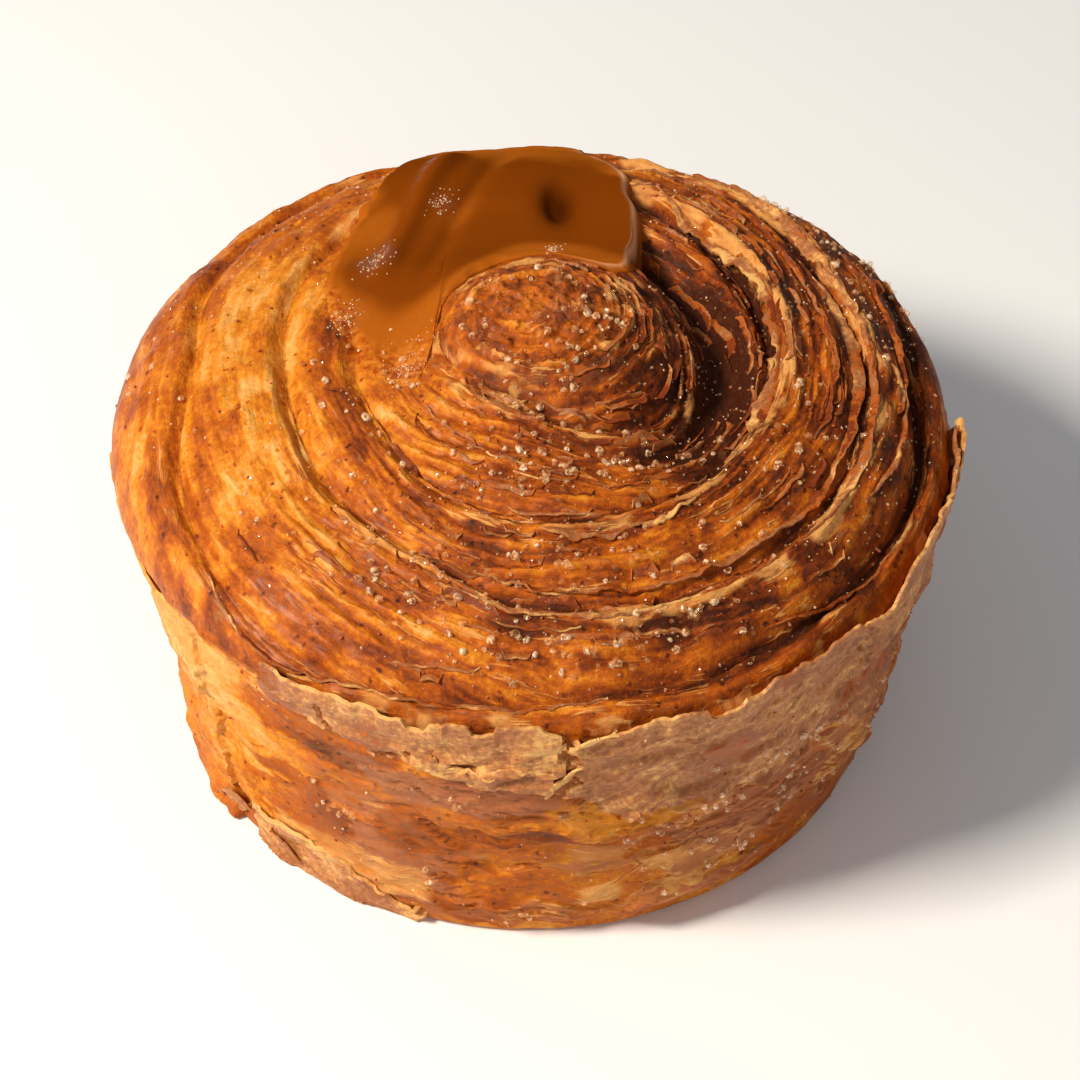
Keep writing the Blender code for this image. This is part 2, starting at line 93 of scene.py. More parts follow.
# The coil's inner edge: (angle unrolled from the knob outwards, radius)
COIL_EDGE = ((-1080, 3.0), (-900, 5.5), (-720, 9.5), (-540, 9.5), (-450, 11.5), (-406, 17.0), (-360, 15.4),
             (-331, 14.2), (-270, 15.0), (-212, 17.9), (-180, 18.6), (-135, 20.0), (-116, 22.6), (-90, 24.8),
             (-30, 25.4), (0, 25.4), (35, 26.6), (63, 29.0), (100, 29.6), (155, 27.7), (188, 25.8),
             (223, 28.1), (248, 30.3), (268, 33.8), (289, 35.4), (328, 36.0), (352, 35.2), (383, 34.8),
             (410, 38.0), (440, 40.5), (480, 41.0), (519, 38.5), (537, 36.0), (560, 38.7), (575, 40.9),
             (594, 43.4), (630, 43.0), (680, 42.6), (705, 42.0), (720, 41.0), (745, 43.0))
# The whole turns to add to an angle so that every part of the edge is met
EDGE_TURNS = (-2, -1, 0, 1, 2, 3)
# Along the unrolled edge: how high it stands, how deep the crease inside it is, how pale its torn leaves
# are, and how much darker the coil is just outside it, by browner baking and by painted shade in the
# hollow by the right rim
EDGE_LIP = ((-1080, 0.1), (-450, 0.3), (-360, 0.5), (-270, 0.3), (-150, 0.3), (-90, 0.6), (-30, 0.9),
            (0, 1.5), (60, 1.6), (110, 0.6), (188, 0.4), (270, 0.8), (360, 0.9), (420, 0.7), (540, 0.4),
            (575, 0.5), (640, 0.3), (745, 0.3))
EDGE_CREASE = ((-1080, 0.1), (-450, 0.4), (-360, 0.4), (-270, 0.4), (-180, 0.5), (-90, 0.6), (-30, 1.2),
               (0, 1.9), (60, 1.6), (110, 0.6), (188, 0.9), (270, 0.7), (360, 1.0), (420, 0.8), (540, 1.0),
               (575, 0.9), (630, 0.7), (680, 1.6), (705, 2.4), (725, 1.6), (745, 0.4))
EDGE_CREAM = ((-1080, 0.2), (-900, 0.35), (-700, 0.4), (-450, 0.35), (-360, 0.3), (-240, 0.15),
              (-120, 0.15), (-60, 0.45), (-20, 0.8), (30, 0.75), (60, 0.45), (110, 0.5), (170, 0.4),
              (210, 0.35), (250, 0.6), (300, 0.8), (340, 0.8), (380, 0.65), (440, 0.6), (500, 0.35),
              (570, 0.35), (600, 0.5), (660, 0.3), (745, 0.2))
EDGE_BAKE_AND_SHADE = ((-1080, 0.08), (-700, 0.09), (-420, 0.03), (-260, 0.0), (-205, 0.42), (-150, 0.32), (-90, 0.18),
             (-55, 0.08), (-20, 0.0), (120, 0.0), (200, 0.05), (250, 0.19), (300, 0.20), (340, 0.0),
             (640, 0.0), (668, 0.04), (690, 0.06), (735, 0.06), (750, 0.0))
# The lip lies this far outside the edge; the coil swells this much between its edges
LIP_SET_BACK = 1.6
LIP_WIDTH = 1.6
CREASE_WIDTH = 1.1
COIL_SWELL = 0.7

# The hollow round the knob: where it runs, how deep and how wide it is, and the share of its depth that is
# left under the caramel
MOAT_LINE = ((-180, 14.0), (-90, 17.5), (-52, 20.6), (-20, 20.6), (10, 19.6), (50, 20.5), (120, 17.0))
MOAT_DEPTH = ((-180, 0.5), (-130, 0.2), (-90, 0.4), (-60, 1.4), (-30, 3.6), (0, 4.8), (45, 5.2), (80, 3.6),
              (130, 2.4))
MOAT_WIDTH = 3.0
COVERED = 0.5

# How strongly the leaves show on top, by angle, and how dark that side is: browner baking, with painted
# shade that darkens the right side, away from the key light
LAYERED = ((-180, 0.35), (-150, 0.6), (-110, 1.0), (-60, 1.0), (0, 1.0), (50, 1.0), (90, 0.7), (130, 0.3))
BAKED_AND_SHADED = ((-180, 0.36), (-150, 0.40), (-110, 0.52), (-85, 0.62), (-60, 0.66), (0, 0.79), (50, 0.70),
         (90, 0.54), (130, 0.43))
# Skins on the wall: how broad and tall their patches are, how rare, how browned and how mauve
SKINS = ((24.0, 9.0, -0.1, 0.12, 0.2), (30.0, 10.0, 0.05, -0.04, 0.9), (20.0, 8.0, 0.15, 0.16, 0.0),
         (26.0, 6.0, 0.22, -0.14, 0.3), (14.0, 5.0, 0.32, 0.06, 0.8))
# Patches on the wall: where (angle, height), half their width and height, and how much browner, creamier
# and more mauve they are
WALL_PATCHES = (
    ((-117, 8.0), (10.0, 5.0), (-0.08, 0.35, 0.3)), ((-103, 26.0), (11.0, 3.4), (0.24, -0.3, 0.8)),
    ((-97, 19.0), (13.0, 5.0), (0.10, -0.25, -0.7)), ((-118, 23.0), (8.0, 4.0), (0.06, -0.2, -0.6)),
    ((-80, 9.0), (14.0, 6.0), (-0.06, 0.12, 0.1)), ((-135, 16.0), (7.0, 9.0), (-0.04, 0.1, 0.0)),
    ((-152, 31.0), (13.0, 10.0), (-0.26, 0.30, 0.0)), ((-58, 16.0), (9.0, 6.0), (0.06, -0.1, 0.5)),
    ((-12, 20.0), (14.0, 16.0), (-0.10, -0.06, 0.1)))
# The crown's piece laps this far down over the wall's; shares of each piece's rings that are seen
LAP = 2.0
CROWN_SHARE = 0.955
WALL_SHARE = (0.02, 0.97)

# ---- the caramel -------------------------------------------------------------------------------------

CARAMEL_OUTLINE = ((10.6, 10.6), (12.2, 17.0), (12.4, 22.5), (11.0, 29.5), (8.4, 37.0), (5.8, 42.6),
                   (0.0, 44.2), (-7.0, 43.4), (-12.6, 41.4), (-16.0, 34.0), (-19.3, 23.0), (-22.0, 13.0),
                   (-21.0, 3.0), (-16.0, -5.0), (-12.0, -6.8), (-10.3, -2.0), (-9.2, 5.0), (-5.0, 10.2),
                   (1.7, 12.4), (6.8, 11.4))
CARAMEL_MIDDLE = (-9.0, 20.0)
CARAMEL_TOP = ((-8, 47.6), (0, 48.6), (11, 50.1), (15, 49.2), (20, 48.7), (25, 48.8), (30, 48.0), (35, 46.0),
               (40, 43.0), (44, 40.1), (46, 38.8))
# How thin it gets, how wide and high its rounded edge is, and how far its underside lies in the dough
CARAMEL_FILM = 0.55
CARAMEL_EDGE = 1.3
CARAMEL_LIP = 0.5
CARAMEL_SINK = 0.8
# The share of its thickness that it loses where it runs out beside the knob
CARAMEL_THINNING = 0.88
# Its folds: x and y of a point on the fold, how it slants, how high it stands and how wide it is
CARAMEL_FOLDS = ((-11.4, 27.5, 0.27, 1.0, 1.5), (-8.4, 19.6, 0.32, -0.55, 1.3))
# Its dimple: where it is, how much longer it is than wide, how deep and how wide
DIMPLE_AT = (3.3, 23.8)
DIMPLE_STRETCH = 1.9
DIMPLE_DEPTH = 2.4
DIMPLE_WIDTH = 1.5
# Where its wet skin glints, by a glossier coat and by whitened fine grains as painted glints: x, y and spread
CARAMEL_GLINTS = ((-9.6, 23.5, 1.8), (-16.6, 13.0, 2.4), (-19.5, 4.0, 2.0), (-13.0, -4.0, 3.2),
                  (2.5, 14.0, 1.2))

# ---- leaves of dough ---------------------------------------------------------------------------------

# Leaves against the wall: start and end angle, foot and top from the rim's level, how far foot and top
# stand out, how far the tears wander and how brown it is. Some climb by their slope, dip at the top or lift
# at the foot where they start, fall at the top where they end, have cracks along (angle, height) lines, or
# are crust that came away
WALL_LEAVES = (
    {"name": "outer_leaf", "from": -87.0, "to": -3.0, "foot": -17.5, "top": 0.4, "out": (0.0, 0.5),
     "ragged": 3.4, "brown": 0.36, "dip": 2.2, "lift": 7.0},
    {"name": "front_leaf", "from": -129.0, "to": -84.4, "foot": -6.8, "top": 0.8, "out": (0.3, 0.4),
     "ragged": 1.7, "brown": 0.26,
     "cracks": (((-117.5, 36.5), (-118.2, 33.5), (-116.5, 31.4), (-111.0, 30.6), (-105.5, 32.6)),)},
    {"name": "front_scrap", "from": -104.0, "to": -86.4, "foot": -8.8, "top": -5.2, "out": (0.35, 0.3),
     "ragged": 0.8, "brown": 0.28, "slope": -2.6},
    {"name": "left_leaf", "from": -208.0, "to": -141.6, "foot": -39.0, "top": -6.0, "out": (0.4, 0.0),
     "ragged": 1.4, "crust": True},
    {"name": "low_leaf", "from": -139.0, "to": -106.0, "foot": -39.5, "top": -30.5, "out": (0.1, 0.1),
     "ragged": 1.8, "brown": 0.22, "slope": 4.0, "fall": 7.0},
)
# Small torn scraps that lie on the leaves: angle and height of the middle, width and height, how far the
# right end rises, how far it stands out, and how brown it is
SCRAPS = (
    {"name": "curled_flap", "at": (-82.6, 36.6), "size": (4.4, 1.5), "rise": 1.7, "out": 1.15,
     "brown": -0.35},
    {"name": "torn_tip", "at": (-86.0, 30.2), "size": (3.6, 2.2), "rise": 4.6, "out": 0.95, "brown": 0.1},
    {"name": "right_flake", "at": (-8.0, 38.6), "size": (8.0, 3.4), "rise": 1.4, "out": 1.4, "brown": 0.1},
    {"name": "right_tip", "at": (-17.5, 36.3), "size": (4.4, 2.2), "rise": 0.8, "out": 1.0, "brown": 0.3},
    {"name": "front_chip", "at": (-97.0, 30.8), "size": (6.5, 1.5), "rise": -0.9, "out": 0.7, "brown": 0.0},
    {"name": "low_flap", "at": (-143.0, 3.4), "size": (6.0, 3.0), "rise": 2.2, "out": 0.9, "brown": 0.45},
    {"name": "low_tip", "at": (-131.5, 2.6), "size": (5.0, 2.0), "rise": -1.6, "out": 0.7, "brown": 0.4},
    {"name": "back_chip", "at": (62.0, 34.0), "size": (7.0, 2.6), "rise": -1.0, "out": 0.8, "brown": 0.2},
    {"name": "side_chip", "at": (24.0, 26.0), "size": (8.0, 3.0), "rise": 1.2, "out": 0.7, "brown": 0.3},
)
# How far inside the dough a leaf's torn-away part lies, how wide its torn edge is, and how far from its
# start a leaf of crust comes free
LEAF_SUNK = 0.7
TEAR_WIDTH = 0.4
CRUST_FREE = 11.0
# Steps to a millimetre in a leaf's sheet, and steps along and across a scrap
LEAF_STEPS = 2.6
SCRAP_STEPS = (26, 14)

# Leaf edges that stand up along the coil: (angle, radius) line, height, how far the free edge leans out,
# raggedness and colour
COIL_LEAVES = (
    {"name": "crumb_band", "line": ((63, 31.4), (51, 28.9), (37, 27.7), (26, 27.5), (12, 27.1), (-1, 26.6),
                                    (-12, 26.3), (-22, 26.2), (-33, 25.8)),
     "height": 0.30, "lean": -1.2, "ragged": 0.4, "brown": 0.38},
    {"name": "crumb_band_back", "line": ((112, 30.0), (95, 30.6), (80, 31.0), (64, 31.2)),
     "height": 0.25, "lean": -1.0, "ragged": 0.4, "brown": 0.45},
    {"name": "outer_pale_leaf", "line": ((70, 43.8), (61, 42.7), (50, 39.0), (35, 36.0), (22, 35.1),
                                         (14, 35.2), (5, 35.6), (-8, 35.8), (-20, 36.2), (-32, 36.4),
                                         (-46, 36.2), (-58, 36.0), (-71, 35.8), (-79, 35.5), (-92, 34.4),
                                         (-110, 31.8)),
     "height": 0.45, "lean": 1.2, "ragged": 0.25, "brown": 0.42},
    {"name": "inner_pale_leaf", "line": ((30, 34.0), (14, 33.2), (5, 33.4), (-8, 33.8), (-20, 34.2),
                                         (-32, 34.5), (-46, 34.3), (-58, 34.0), (-71, 33.6), (-88, 32.2),
                                         (-104, 30.6)),
     "height": 0.35, "lean": 1.2, "ragged": 0.25, "brown": 0.46},
    {"name": "front_rim_leaf", "line": ((-140, 42.2), (-126, 44.0), (-113, 43.5), (-101, 43.0), (-91, 43.0),
                                        (-80, 42.8)),
     "height": 0.35, "lean": 0.7, "ragged": 0.25, "brown": 0.45},
    {"name": "right_groove_leaf", "line": ((9, 40.2), (0, 41.0), (-10, 42.0), (-20, 42.6), (-33, 42.9),
                                           (-44, 42.4), (-56, 41.6)),
     "height": 0.7, "lean": 0.6, "ragged": 0.22, "brown": 0.72},
    {"name": "right_second_leaf", "line": ((30, 40.4), (20, 40.0), (8, 39.2), (-4, 39.4), (-18, 39.6),
                                           (-30, 39.3)),
     "height": 0.45, "lean": 0.7, "ragged": 0.22, "brown": 0.72},
    {"name": "right_third_leaf", "line": ((46, 35.4), (34, 32.6), (20, 31.6), (6, 31.4), (-8, 31.6),
                                          (-24, 31.8)),
     "height": 0.4, "lean": 0.8, "ragged": 0.22, "brown": 0.7},
    {"name": "front_inner_leaf", "line": ((-52, 27.4), (-65, 27.6), (-74, 27.2), (-88, 26.8)),
     "height": 0.4, "lean": 1.0, "ragged": 0.4, "brown": 0.25},
)
# Flakes: the seed of the rule that strews them, and the least share of layering where one is torn up
FLAKE_SEED = 5
FLAKE_LAYERED = 0.65

# ---- sugar -------------------------------------------------------------------------------------------

# Where the coarse sugar gathered: on the crown (angle, radius, spread, grains)
CROWN_SUGAR = ((-40, 7.5, 2.6, 26), (-80, 9.5, 2.2, 15), (60, 6.0, 2.5, 12), (-130, 6.0, 2.6, 14),
               (5, 9.0, 2.4, 12), (-160, 15.0, 3.0, 14), (-95, 15.5, 3.0, 26), (-75, 18.5, 2.2, 22),
               (-55, 21.0, 2.0, 19), (-38, 24.0, 1.6, 8), (-100, 21.0, 3.0, 26), (-88, 30.0, 2.6, 15),
               (-72, 31.0, 2.4, 15), (-118, 33.0, 4.0, 35), (-102, 37.0, 3.4, 29), (-88, 39.6, 1.8, 29),
               (-76, 39.6, 1.8, 22), (-66, 39.0, 1.8, 19), (-60, 35.0, 3.0, 14), (-30, 31.0, 2.4, 10),
               (-5, 30.0, 2.2, 8), (-20, 38.0, 2.4, 8), (12, 37.0, 2.0, 10), (30, 40.0, 2.4, 21),
               (48, 42.4, 2.0, 17), (20, 44.0, 1.6, 10), (-140, 24.0, 4.0, 14), (-160, 34.0, 4.0, 7),
               (170, 42.0, 3.0, 5), (-178, 20.0, 3.0, 7))
# and on the wall (angle, height, spread, grains)
WALL_SUGAR = ((-117, 17.8, 1.8, 12), (-66, 21.2, 2.6, 22), (-58, 26.0, 2.6, 14), (-72, 12.0, 2.6, 12),
              (-52, 16.0, 3.0, 20), (-62, 9.0, 3.6, 24), (-47, 25.0, 3.2, 16), (-74, 17.0, 2.2, 12),
              (-34, 12.0, 4.0, 12), (-99, 25.6, 1.2, 5), (-104, 10.0, 1.0, 4), (-90, 5.0, 3.0, 6),
              (-40, 22.0, 4.0, 8), (20, 30.0, 6.0, 10), (70, 28.0, 7.0, 10), (110, 20.0, 7.0, 6))
SUGAR_SEED = 11
# A grain's middle stands this share of its width off the dough; faces that meet at less than the facet
# angle are smoothed together
GRAIN_SIT = 0.22
FACET_ANGLE = 25.0
SMOOTH_ANGLE = 50.0
# The share of the fine grains and of the spice that lies on the crown, and how small and how white the
# grains are that are set in the caramel as painted glints
FINE_ON_CROWN = 0.85
SPICE_ON_CROWN = 0.6
PAINTED_GLINT_SIZE = 0.62
PAINTED_GLINT_WHITE = 0.50

# ---- the stage ---------------------------------------------------------------------------------------

CAMERA_ELEVATION = 43.0
CAMERA_DISTANCE = 320.0
CAMERA_AIM = (0.99, -5.25, 24.4)
CAMERA_STAND = (0.0, 0.0, 30.0)
# Lights, in metres: where each stands and how broad it is, and its colour in 0 to 255 steps
LIGHTS = {"key": ((-0.42, -0.20, 0.52), 0.16, (255, 244, 226)),
          "fill": ((0.05, -0.75, 0.40), 0.50, (250, 246, 240))}
LIGHTS_AIM = (0.0, 0.0, 0.03)


def tint(red, green, blue):
    """A colour given in everyday 0 to 255 steps, as the linear values that Blender keeps."""
    shares = [step / 255.0 for step in (red, green, blue)]
    return tuple(s / 12.92 if s <= 0.04045 else ((s + 0.055) / 1.055) ** 2.4 for s in shares)


# Lesser colours in the finishes
MOTTLED_CREAM = tint(206, 128, 60)
# Painted shade: the dark inside the caramel's dimple
PAINTED_DIMPLE_SHADE = tint(44, 12, 1)
CRUMB_DARK = tint(150, 62, 8)
CRUMB_LIGHT = tint(206, 122, 40)
# Painted highlight: the pale band along the caramel's right rim
PAINTED_RIM_HIGHLIGHT = tint(228, 172, 130)
HONEY = tint(244, 168, 92)
SPICE_LIGHT = tint(186, 92, 40)
FLOOR_GRAIN = tint(225, 224, 222)


# ---- settings ----------------------------------------------------------------------------------------


class DoughSettings(bpy.types.PropertyGroup):
    """The coiled dough: how finely it is made, its relief and its colours"""
    crown_steps: bpy.props.IntVectorProperty(
        name="Crown steps", description="Steps round the crown, and from its top to its underside",
        default=(320, 308), size=2, min=24)
    wall_steps: bpy.props.IntVectorProperty(
        name="Wall steps", description="Steps round the wall, and from its top to its foot",
        default=(440, 226), size=2, min=24)
    leaf_pitch: bpy.props.FloatProperty(
        name="Leaf pitch", description="Distance from one broad leaf of dough to the next on the crown",
        default=1.7 * MM, unit="LENGTH", precision=5)
    leaf_relief: bpy.props.FloatProperty(
        name="Leaf relief", description="How far a leaf's edge stands above the next",
        default=0.50 * MM, unit="LENGTH", precision=5)
    wall_relief: bpy.props.FloatProperty(
        name="Wall relief", description="How far the wall's leaves stand out",
        default=0.30 * MM, unit="LENGTH", precision=5)
    cream: bpy.props.FloatVectorProperty(
        name="Cream", description="Colour of torn, unbrowned leaves", subtype="COLOR",
        default=tint(226, 172, 100), min=0.0, max=1.0)
    golden: bpy.props.FloatVectorProperty(
        name="Golden", description="Colour of lightly baked crust", subtype="COLOR",
        default=tint(211, 129, 28), min=0.0, max=1.0)
    amber: bpy.props.FloatVectorProperty(
        name="Amber", description="Colour of well baked crust", subtype="COLOR",
        default=tint(177, 87, 12), min=0.0, max=1.0)
    russet: bpy.props.FloatVectorProperty(
        name="Russet", description="Colour of dark, sugary crust", subtype="COLOR",
        default=tint(122, 50, 7), min=0.0, max=1.0)
    # Painted shade: the darkest crust colour, reached down in the hollows and creases
    deep_shade: bpy.props.FloatVectorProperty(
        name="Deep", description="Colour down in the creases", subtype="COLOR",
        default=tint(62, 22, 3), min=0.0, max=1.0)
    # Mauve is partly the dry brown skin and partly painted: a bluish sheen on the skins and painted shade on
    # the right
    mauve: bpy.props.FloatVectorProperty(
        name="Mauve", description="Colour of the dry brown skin on the wall", subtype="COLOR",
        default=tint(160, 96, 64), min=0.0, max=1.0)
    dust: bpy.props.FloatVectorProperty(
        name="Dust", description="Colour of the dry, floury bloom on the wall", subtype="COLOR",
        default=tint(206, 146, 96), min=0.0, max=1.0)


class LeafSettings(bpy.types.PropertyGroup):
    """The thin leaves and flakes of dough"""
    thickness: bpy.props.FloatProperty(
        name="Thickness", description="Thickness of a leaf on the wall", default=0.35 * MM,
        unit="LENGTH", precision=5)
    edge_thickness: bpy.props.FloatProperty(
        name="Edge thickness", description="Thickness of a leaf edge on the crown", default=0.22 * MM,
        unit="LENGTH", precision=5)
    flakes: bpy.props.IntProperty(
        name="Flakes", description="Number of small leaf edges torn up on the crown", default=170, min=0)
    pale: bpy.props.FloatVectorProperty(
        name="Pale", description="Colour of a thin dry leaf", subtype="COLOR",
        default=tint(190, 124, 70), min=0.0, max=1.0)
    toasted: bpy.props.FloatVectorProperty(
        name="Toasted", description="Colour of a leaf's browned patches", subtype="COLOR",
        default=tint(148, 88, 50), min=0.0, max=1.0)


class CaramelSettings(bpy.types.PropertyGroup):
    """The pour over the back"""
    segments: bpy.props.IntProperty(
        name="Segments", description="Steps round the pour", default=220, min=24)
    rings: bpy.props.IntProperty(
        name="Rings", description="Steps from the pour's middle to its edge and back beneath", default=180,
        min=24)
    thin: bpy.props.FloatVectorProperty(
        name="Thin", description="Colour where the pour is a film", subtype="COLOR",
        default=tint(164, 86, 20), min=0.0, max=1.0)
    thick: bpy.props.FloatVectorProperty(
        name="Thick", description="Colour where the pour lies deep", subtype="COLOR",
        default=tint(122, 57, 7), min=0.0, max=1.0)


class SugarSettings(bpy.types.PropertyGroup):
    """The grains of sugar and the ground spice"""
    coarse_size: bpy.props.FloatProperty(
        name="Coarse grain", description="Width of a grain of coarse sugar", default=0.78 * MM,
        unit="LENGTH", precision=5)
    fine_size: bpy.props.FloatProperty(
        name="Fine grain", description="Width of a grain of fine sugar", default=0.30 * MM,
        unit="LENGTH", precision=5)
    fine_grains: bpy.props.IntProperty(
        name="Fine grains", description="Number of fine grains", default=2800, min=0)
    spice_size: bpy.props.FloatProperty(
        name="Spice speck", description="Width of a speck of ground spice", default=0.36 * MM,
        unit="LENGTH", precision=5)
    spice_specks: bpy.props.IntProperty(
        name="Spice specks", description="Number of specks of ground spice", default=420, min=0)
    clear: bpy.props.FloatVectorProperty(
        name="Clear", description="Colour of sugar", subtype="COLOR", default=tint(255, 230, 192),
        min=0.0, max=1.0)
    spice: bpy.props.FloatVectorProperty(
        name="Spice", description="Colour of ground spice", subtype="COLOR", default=tint(128, 44, 20),
        min=0.0, max=1.0)


class StageSettings(bpy.types.PropertyGroup):
    """The floor, the lights and the lens"""
    lens: bpy.props.FloatProperty(
        name="Lens", description="Focal length in millimetres on a 36 mm sensor", default=97.07, min=10.0)
    floor_size: bpy.props.FloatProperty(
        name="Floor", description="Width of the floor", default=6.0, unit="LENGTH")
    floor: bpy.props.FloatVectorProperty(
        name="Floor colour", description="Colour of the floor", subtype="COLOR", default=tint(243, 245, 249),
        min=0.0, max=1.0)
    key_power: bpy.props.FloatProperty(
        name="Key light", description="Power of the light at the upper left", default=6.1, unit="POWER")
    fill_power: bpy.props.FloatProperty(
        name="Fill light", description="Power of the light over the front", default=0.8, unit="POWER")
    sky: bpy.props.FloatProperty(
        name="Sky", description="Strength of the light from all round", default=0.26, min=0.0)


# ---- curves and noise --------------------------------------------------------------------------------


def smoothstep(low, high, x):
    """0 at low, 1 at high, level beyond them and smooth between."""
    t = np.clip((x - low) / (high - low), 0.0, 1.0)
    return t * t * (3.0 - 2.0 * t)


def hump(distance, width):
    """1 at no distance, and falling off smoothly over the width."""
    return np.exp(-(distance / width) ** 2)


def through(knots, x):
    """Smooth curve through (x, y) knots, level beyond its ends."""
    knot_x = np.array([knot[0] for knot in knots], float)
    knot_y = np.array([knot[1] for knot in knots], float)
    slope = np.gradient(knot_y, knot_x)
    x = np.clip(x, knot_x[0], knot_x[-1])
    i = np.clip(np.searchsorted(knot_x, x, side="right") - 1, 0, len(knot_x) - 2)
    span = knot_x[i + 1] - knot_x[i]
    t = (x - knot_x[i]) / span
    start = (1 + 2 * t) * (1 - t) ** 2 * knot_y[i] + t * (1 - t) ** 2 * span * slope[i]
    end = t * t * (3 - 2 * t) * knot_y[i + 1] + t * t * (t - 1) * span * slope[i + 1]
    return start + end


def around(knots, angle):
    """Smooth curve through (angle, value) knots that closes on itself after a full turn."""
    before = [(a - 360, value) for a, value in knots]
    after = [(a + 360, value) for a, value in knots]
    return through(before + list(knots) + after, (np.asarray(angle) + 180.0) % 360.0 - 180.0)


def unevenness(u, v):
    """A slow, irregular wave between about -1 and 1."""
    return (np.sin(1.3 * u + 0.7) + np.sin(0.8 * u + 1.9 * v + 2.1)
            + np.sin(2.3 * v - 0.6 * u + 4.0) + np.sin(2.9 * u + 1.1 * v + 5.2)) / 2.6


def chance(i, j, k):
    """A fixed random number between -1 and 1 for each whole-numbered cell."""
    mixed = (i * 374761393 + j * 668265263 + k * 1442695041) & 0xFFFFFFFF
    mixed = ((mixed ^ (mixed >> 13)) * 1274126177) & 0xFFFFFFFF
    mixed = ((mixed ^ (mixed >> 16)) * 2246822519) & 0xFFFFFFFF
    return ((mixed ^ (mixed >> 15)) & 0xFFFF) / 32767.5 - 1.0


def noise(x, y, z=0.0):
    """Smooth noise between -1 and 1 with features about one unit apart."""
    spot = np.broadcast_arrays(np.asarray(x, float), np.asarray(y, float), np.asarray(z, float))
    low = [np.floor(part).astype(np.int64) for part in spot]
    past = [part - cell for part, cell in zip(spot, low)]
    ease = [t ** 3 * (6 * t ** 2 - 15 * t + 10) for t in past]
    total = 0.0
    for dx in (0, 1):
        for dy in (0, 1):
            for dz in (0, 1):
                weight = ((ease[0] if dx else 1 - ease[0]) * (ease[1] if dy else 1 - ease[1])
                          * (ease[2] if dz else 1 - ease[2]))
                total = total + weight * chance(low[0] + dx, low[1] + dy, low[2] + dz)
    return total


def rough_noise(x, y, z=0.0, octaves=3):
    """Noise with finer and finer noise added to it."""
    total = 0.0
    for octave in range(octaves):
        step = 2.03 ** octave
        total = total + noise(x * step + 17.3 * octave, y * step, z * step) * 0.55 ** octave
    return total


# ---- the pastry's main form --------------------------------------------------------------------------


def at_angle(radius, angle):
    """x and y at a distance from the coil's axis and an angle round it."""
    turn = np.radians(angle)
    return radius * np.cos(turn), radius * np.sin(turn)


def off_knob(x, y):
    """Distance from the knob's middle."""
    return np.hypot(x - KNOB_OFFSET, y)


def on_knob(x, y, ends):
    """1 on the knob's top or side, and 0 beyond where it ends."""
    return 1.0 - smoothstep(*ends, off_knob(x, y))


def coil_turns(angle):
    """Each turn that passes this angle: its unrolled angle, its edge's radius, and 1 if the coil is there."""
    turns = []
    for turn in EDGE_TURNS:
        unrolled = angle + 360.0 * turn
        there = np.where(unrolled > COIL_EDGE[-1][0], 0.0, 1.0)
        turns.append((unrolled, through(COIL_EDGE, unrolled), there))
    return turns


def coil_relief(radius, angle):
    """Lips, creases and swell of the coil, from where its edge passes on each turn."""
    relief = np.zeros_like(radius)
    turns = coil_turns(angle)
    for unrolled, edge, there in turns:
        lip = through(EDGE_LIP, unrolled) * hump(radius - edge - LIP_SET_BACK, LIP_WIDTH)
        crease = through(EDGE_CREASE, unrolled) * hump(radius - edge, CREASE_WIDTH)
        relief += there * (lip - crease)
    for (_, inner, _), (_, outer, _) in zip(turns, turns[1:]):
        width = np.maximum(outer - inner, 0.1)
        arch = np.sin(np.pi * np.clip((radius - inner) / width, 0.0, 1.0))
        relief += COIL_SWELL * arch * smoothstep(3.0, 8.0, width) * smoothstep(9.0, 14.0, radius)
    return relief


def caramel_outline(steps):
    """Smooth closed outline round the pour: directions from its middle, and the distance to it in each."""
    points = np.array(CARAMEL_OUTLINE) - np.array(CARAMEL_MIDDLE)
    laps = np.vstack((points, points, points))
    t = np.linspace(len(points), 2 * len(points), steps, endpoint=False)
    x, y = (through(list(enumerate(laps[:, axis])), t) for axis in (0, 1))
    return np.arctan2(y, x), np.hypot(x, y)


def inside_caramel(x, y):
    """Distance inside the caramel's outline, along the line to its middle; negative outside."""
    spoke, reach = caramel_outline(160)
    dx, dy = x - CARAMEL_MIDDLE[0], y - CARAMEL_MIDDLE[1]
    return np.interp(np.arctan2(dy, dx), spoke, reach, period=math.tau) - np.hypot(dx, dy)


def crown_height(x, y):
    """Height of the crown's main form at a point measured from the coil's axis."""
    radius = np.hypot(x, y)
    angle = np.degrees(np.arctan2(y, x))
    outside_knob = smoothstep(11.0, 24.0, radius)
    height = through(CROWN_PROFILE, off_knob(x, y) * (1 - outside_knob) + radius * outside_knob)
    height += (around(RIM_LEVEL, angle) - RIM_HEIGHT) * smoothstep(15.0, 45.0, radius)
    bare = 1.0 - smoothstep(0.0, 4.0, inside_caramel(x, y))
    moat = hump(radius - around(MOAT_LINE, angle), MOAT_WIDTH)
    height -= around(MOAT_DEPTH, angle) * moat * (COVERED + (1 - COVERED) * bare)
    height += coil_relief(radius, angle) * bare
    height += UNEVEN * unevenness(x / 6.0, y / 6.0) * smoothstep(4.0, 16.0, radius)
    rim = around(RIM_ROUND, angle)
    shoulder = around(RIM_SHOULDER, angle)
    over = np.clip((radius - (rim - shoulder)) / shoulder, 0.0, 1.0)
    return height - shoulder * (1.0 - np.sqrt(1.0 - over ** 2))


def off_fold(x, y, fold):
    """Distance across one of the caramel's folds."""
    fold_x, fold_y, slant = fold[:3]
    return x - slant * (y - fold_y) - fold_x


def off_dimple(x, y):
    """Distance from the dimple's middle, in its widths."""
    return np.hypot(x - DIMPLE_AT[0], (y - DIMPLE_AT[1]) / DIMPLE_STRETCH)


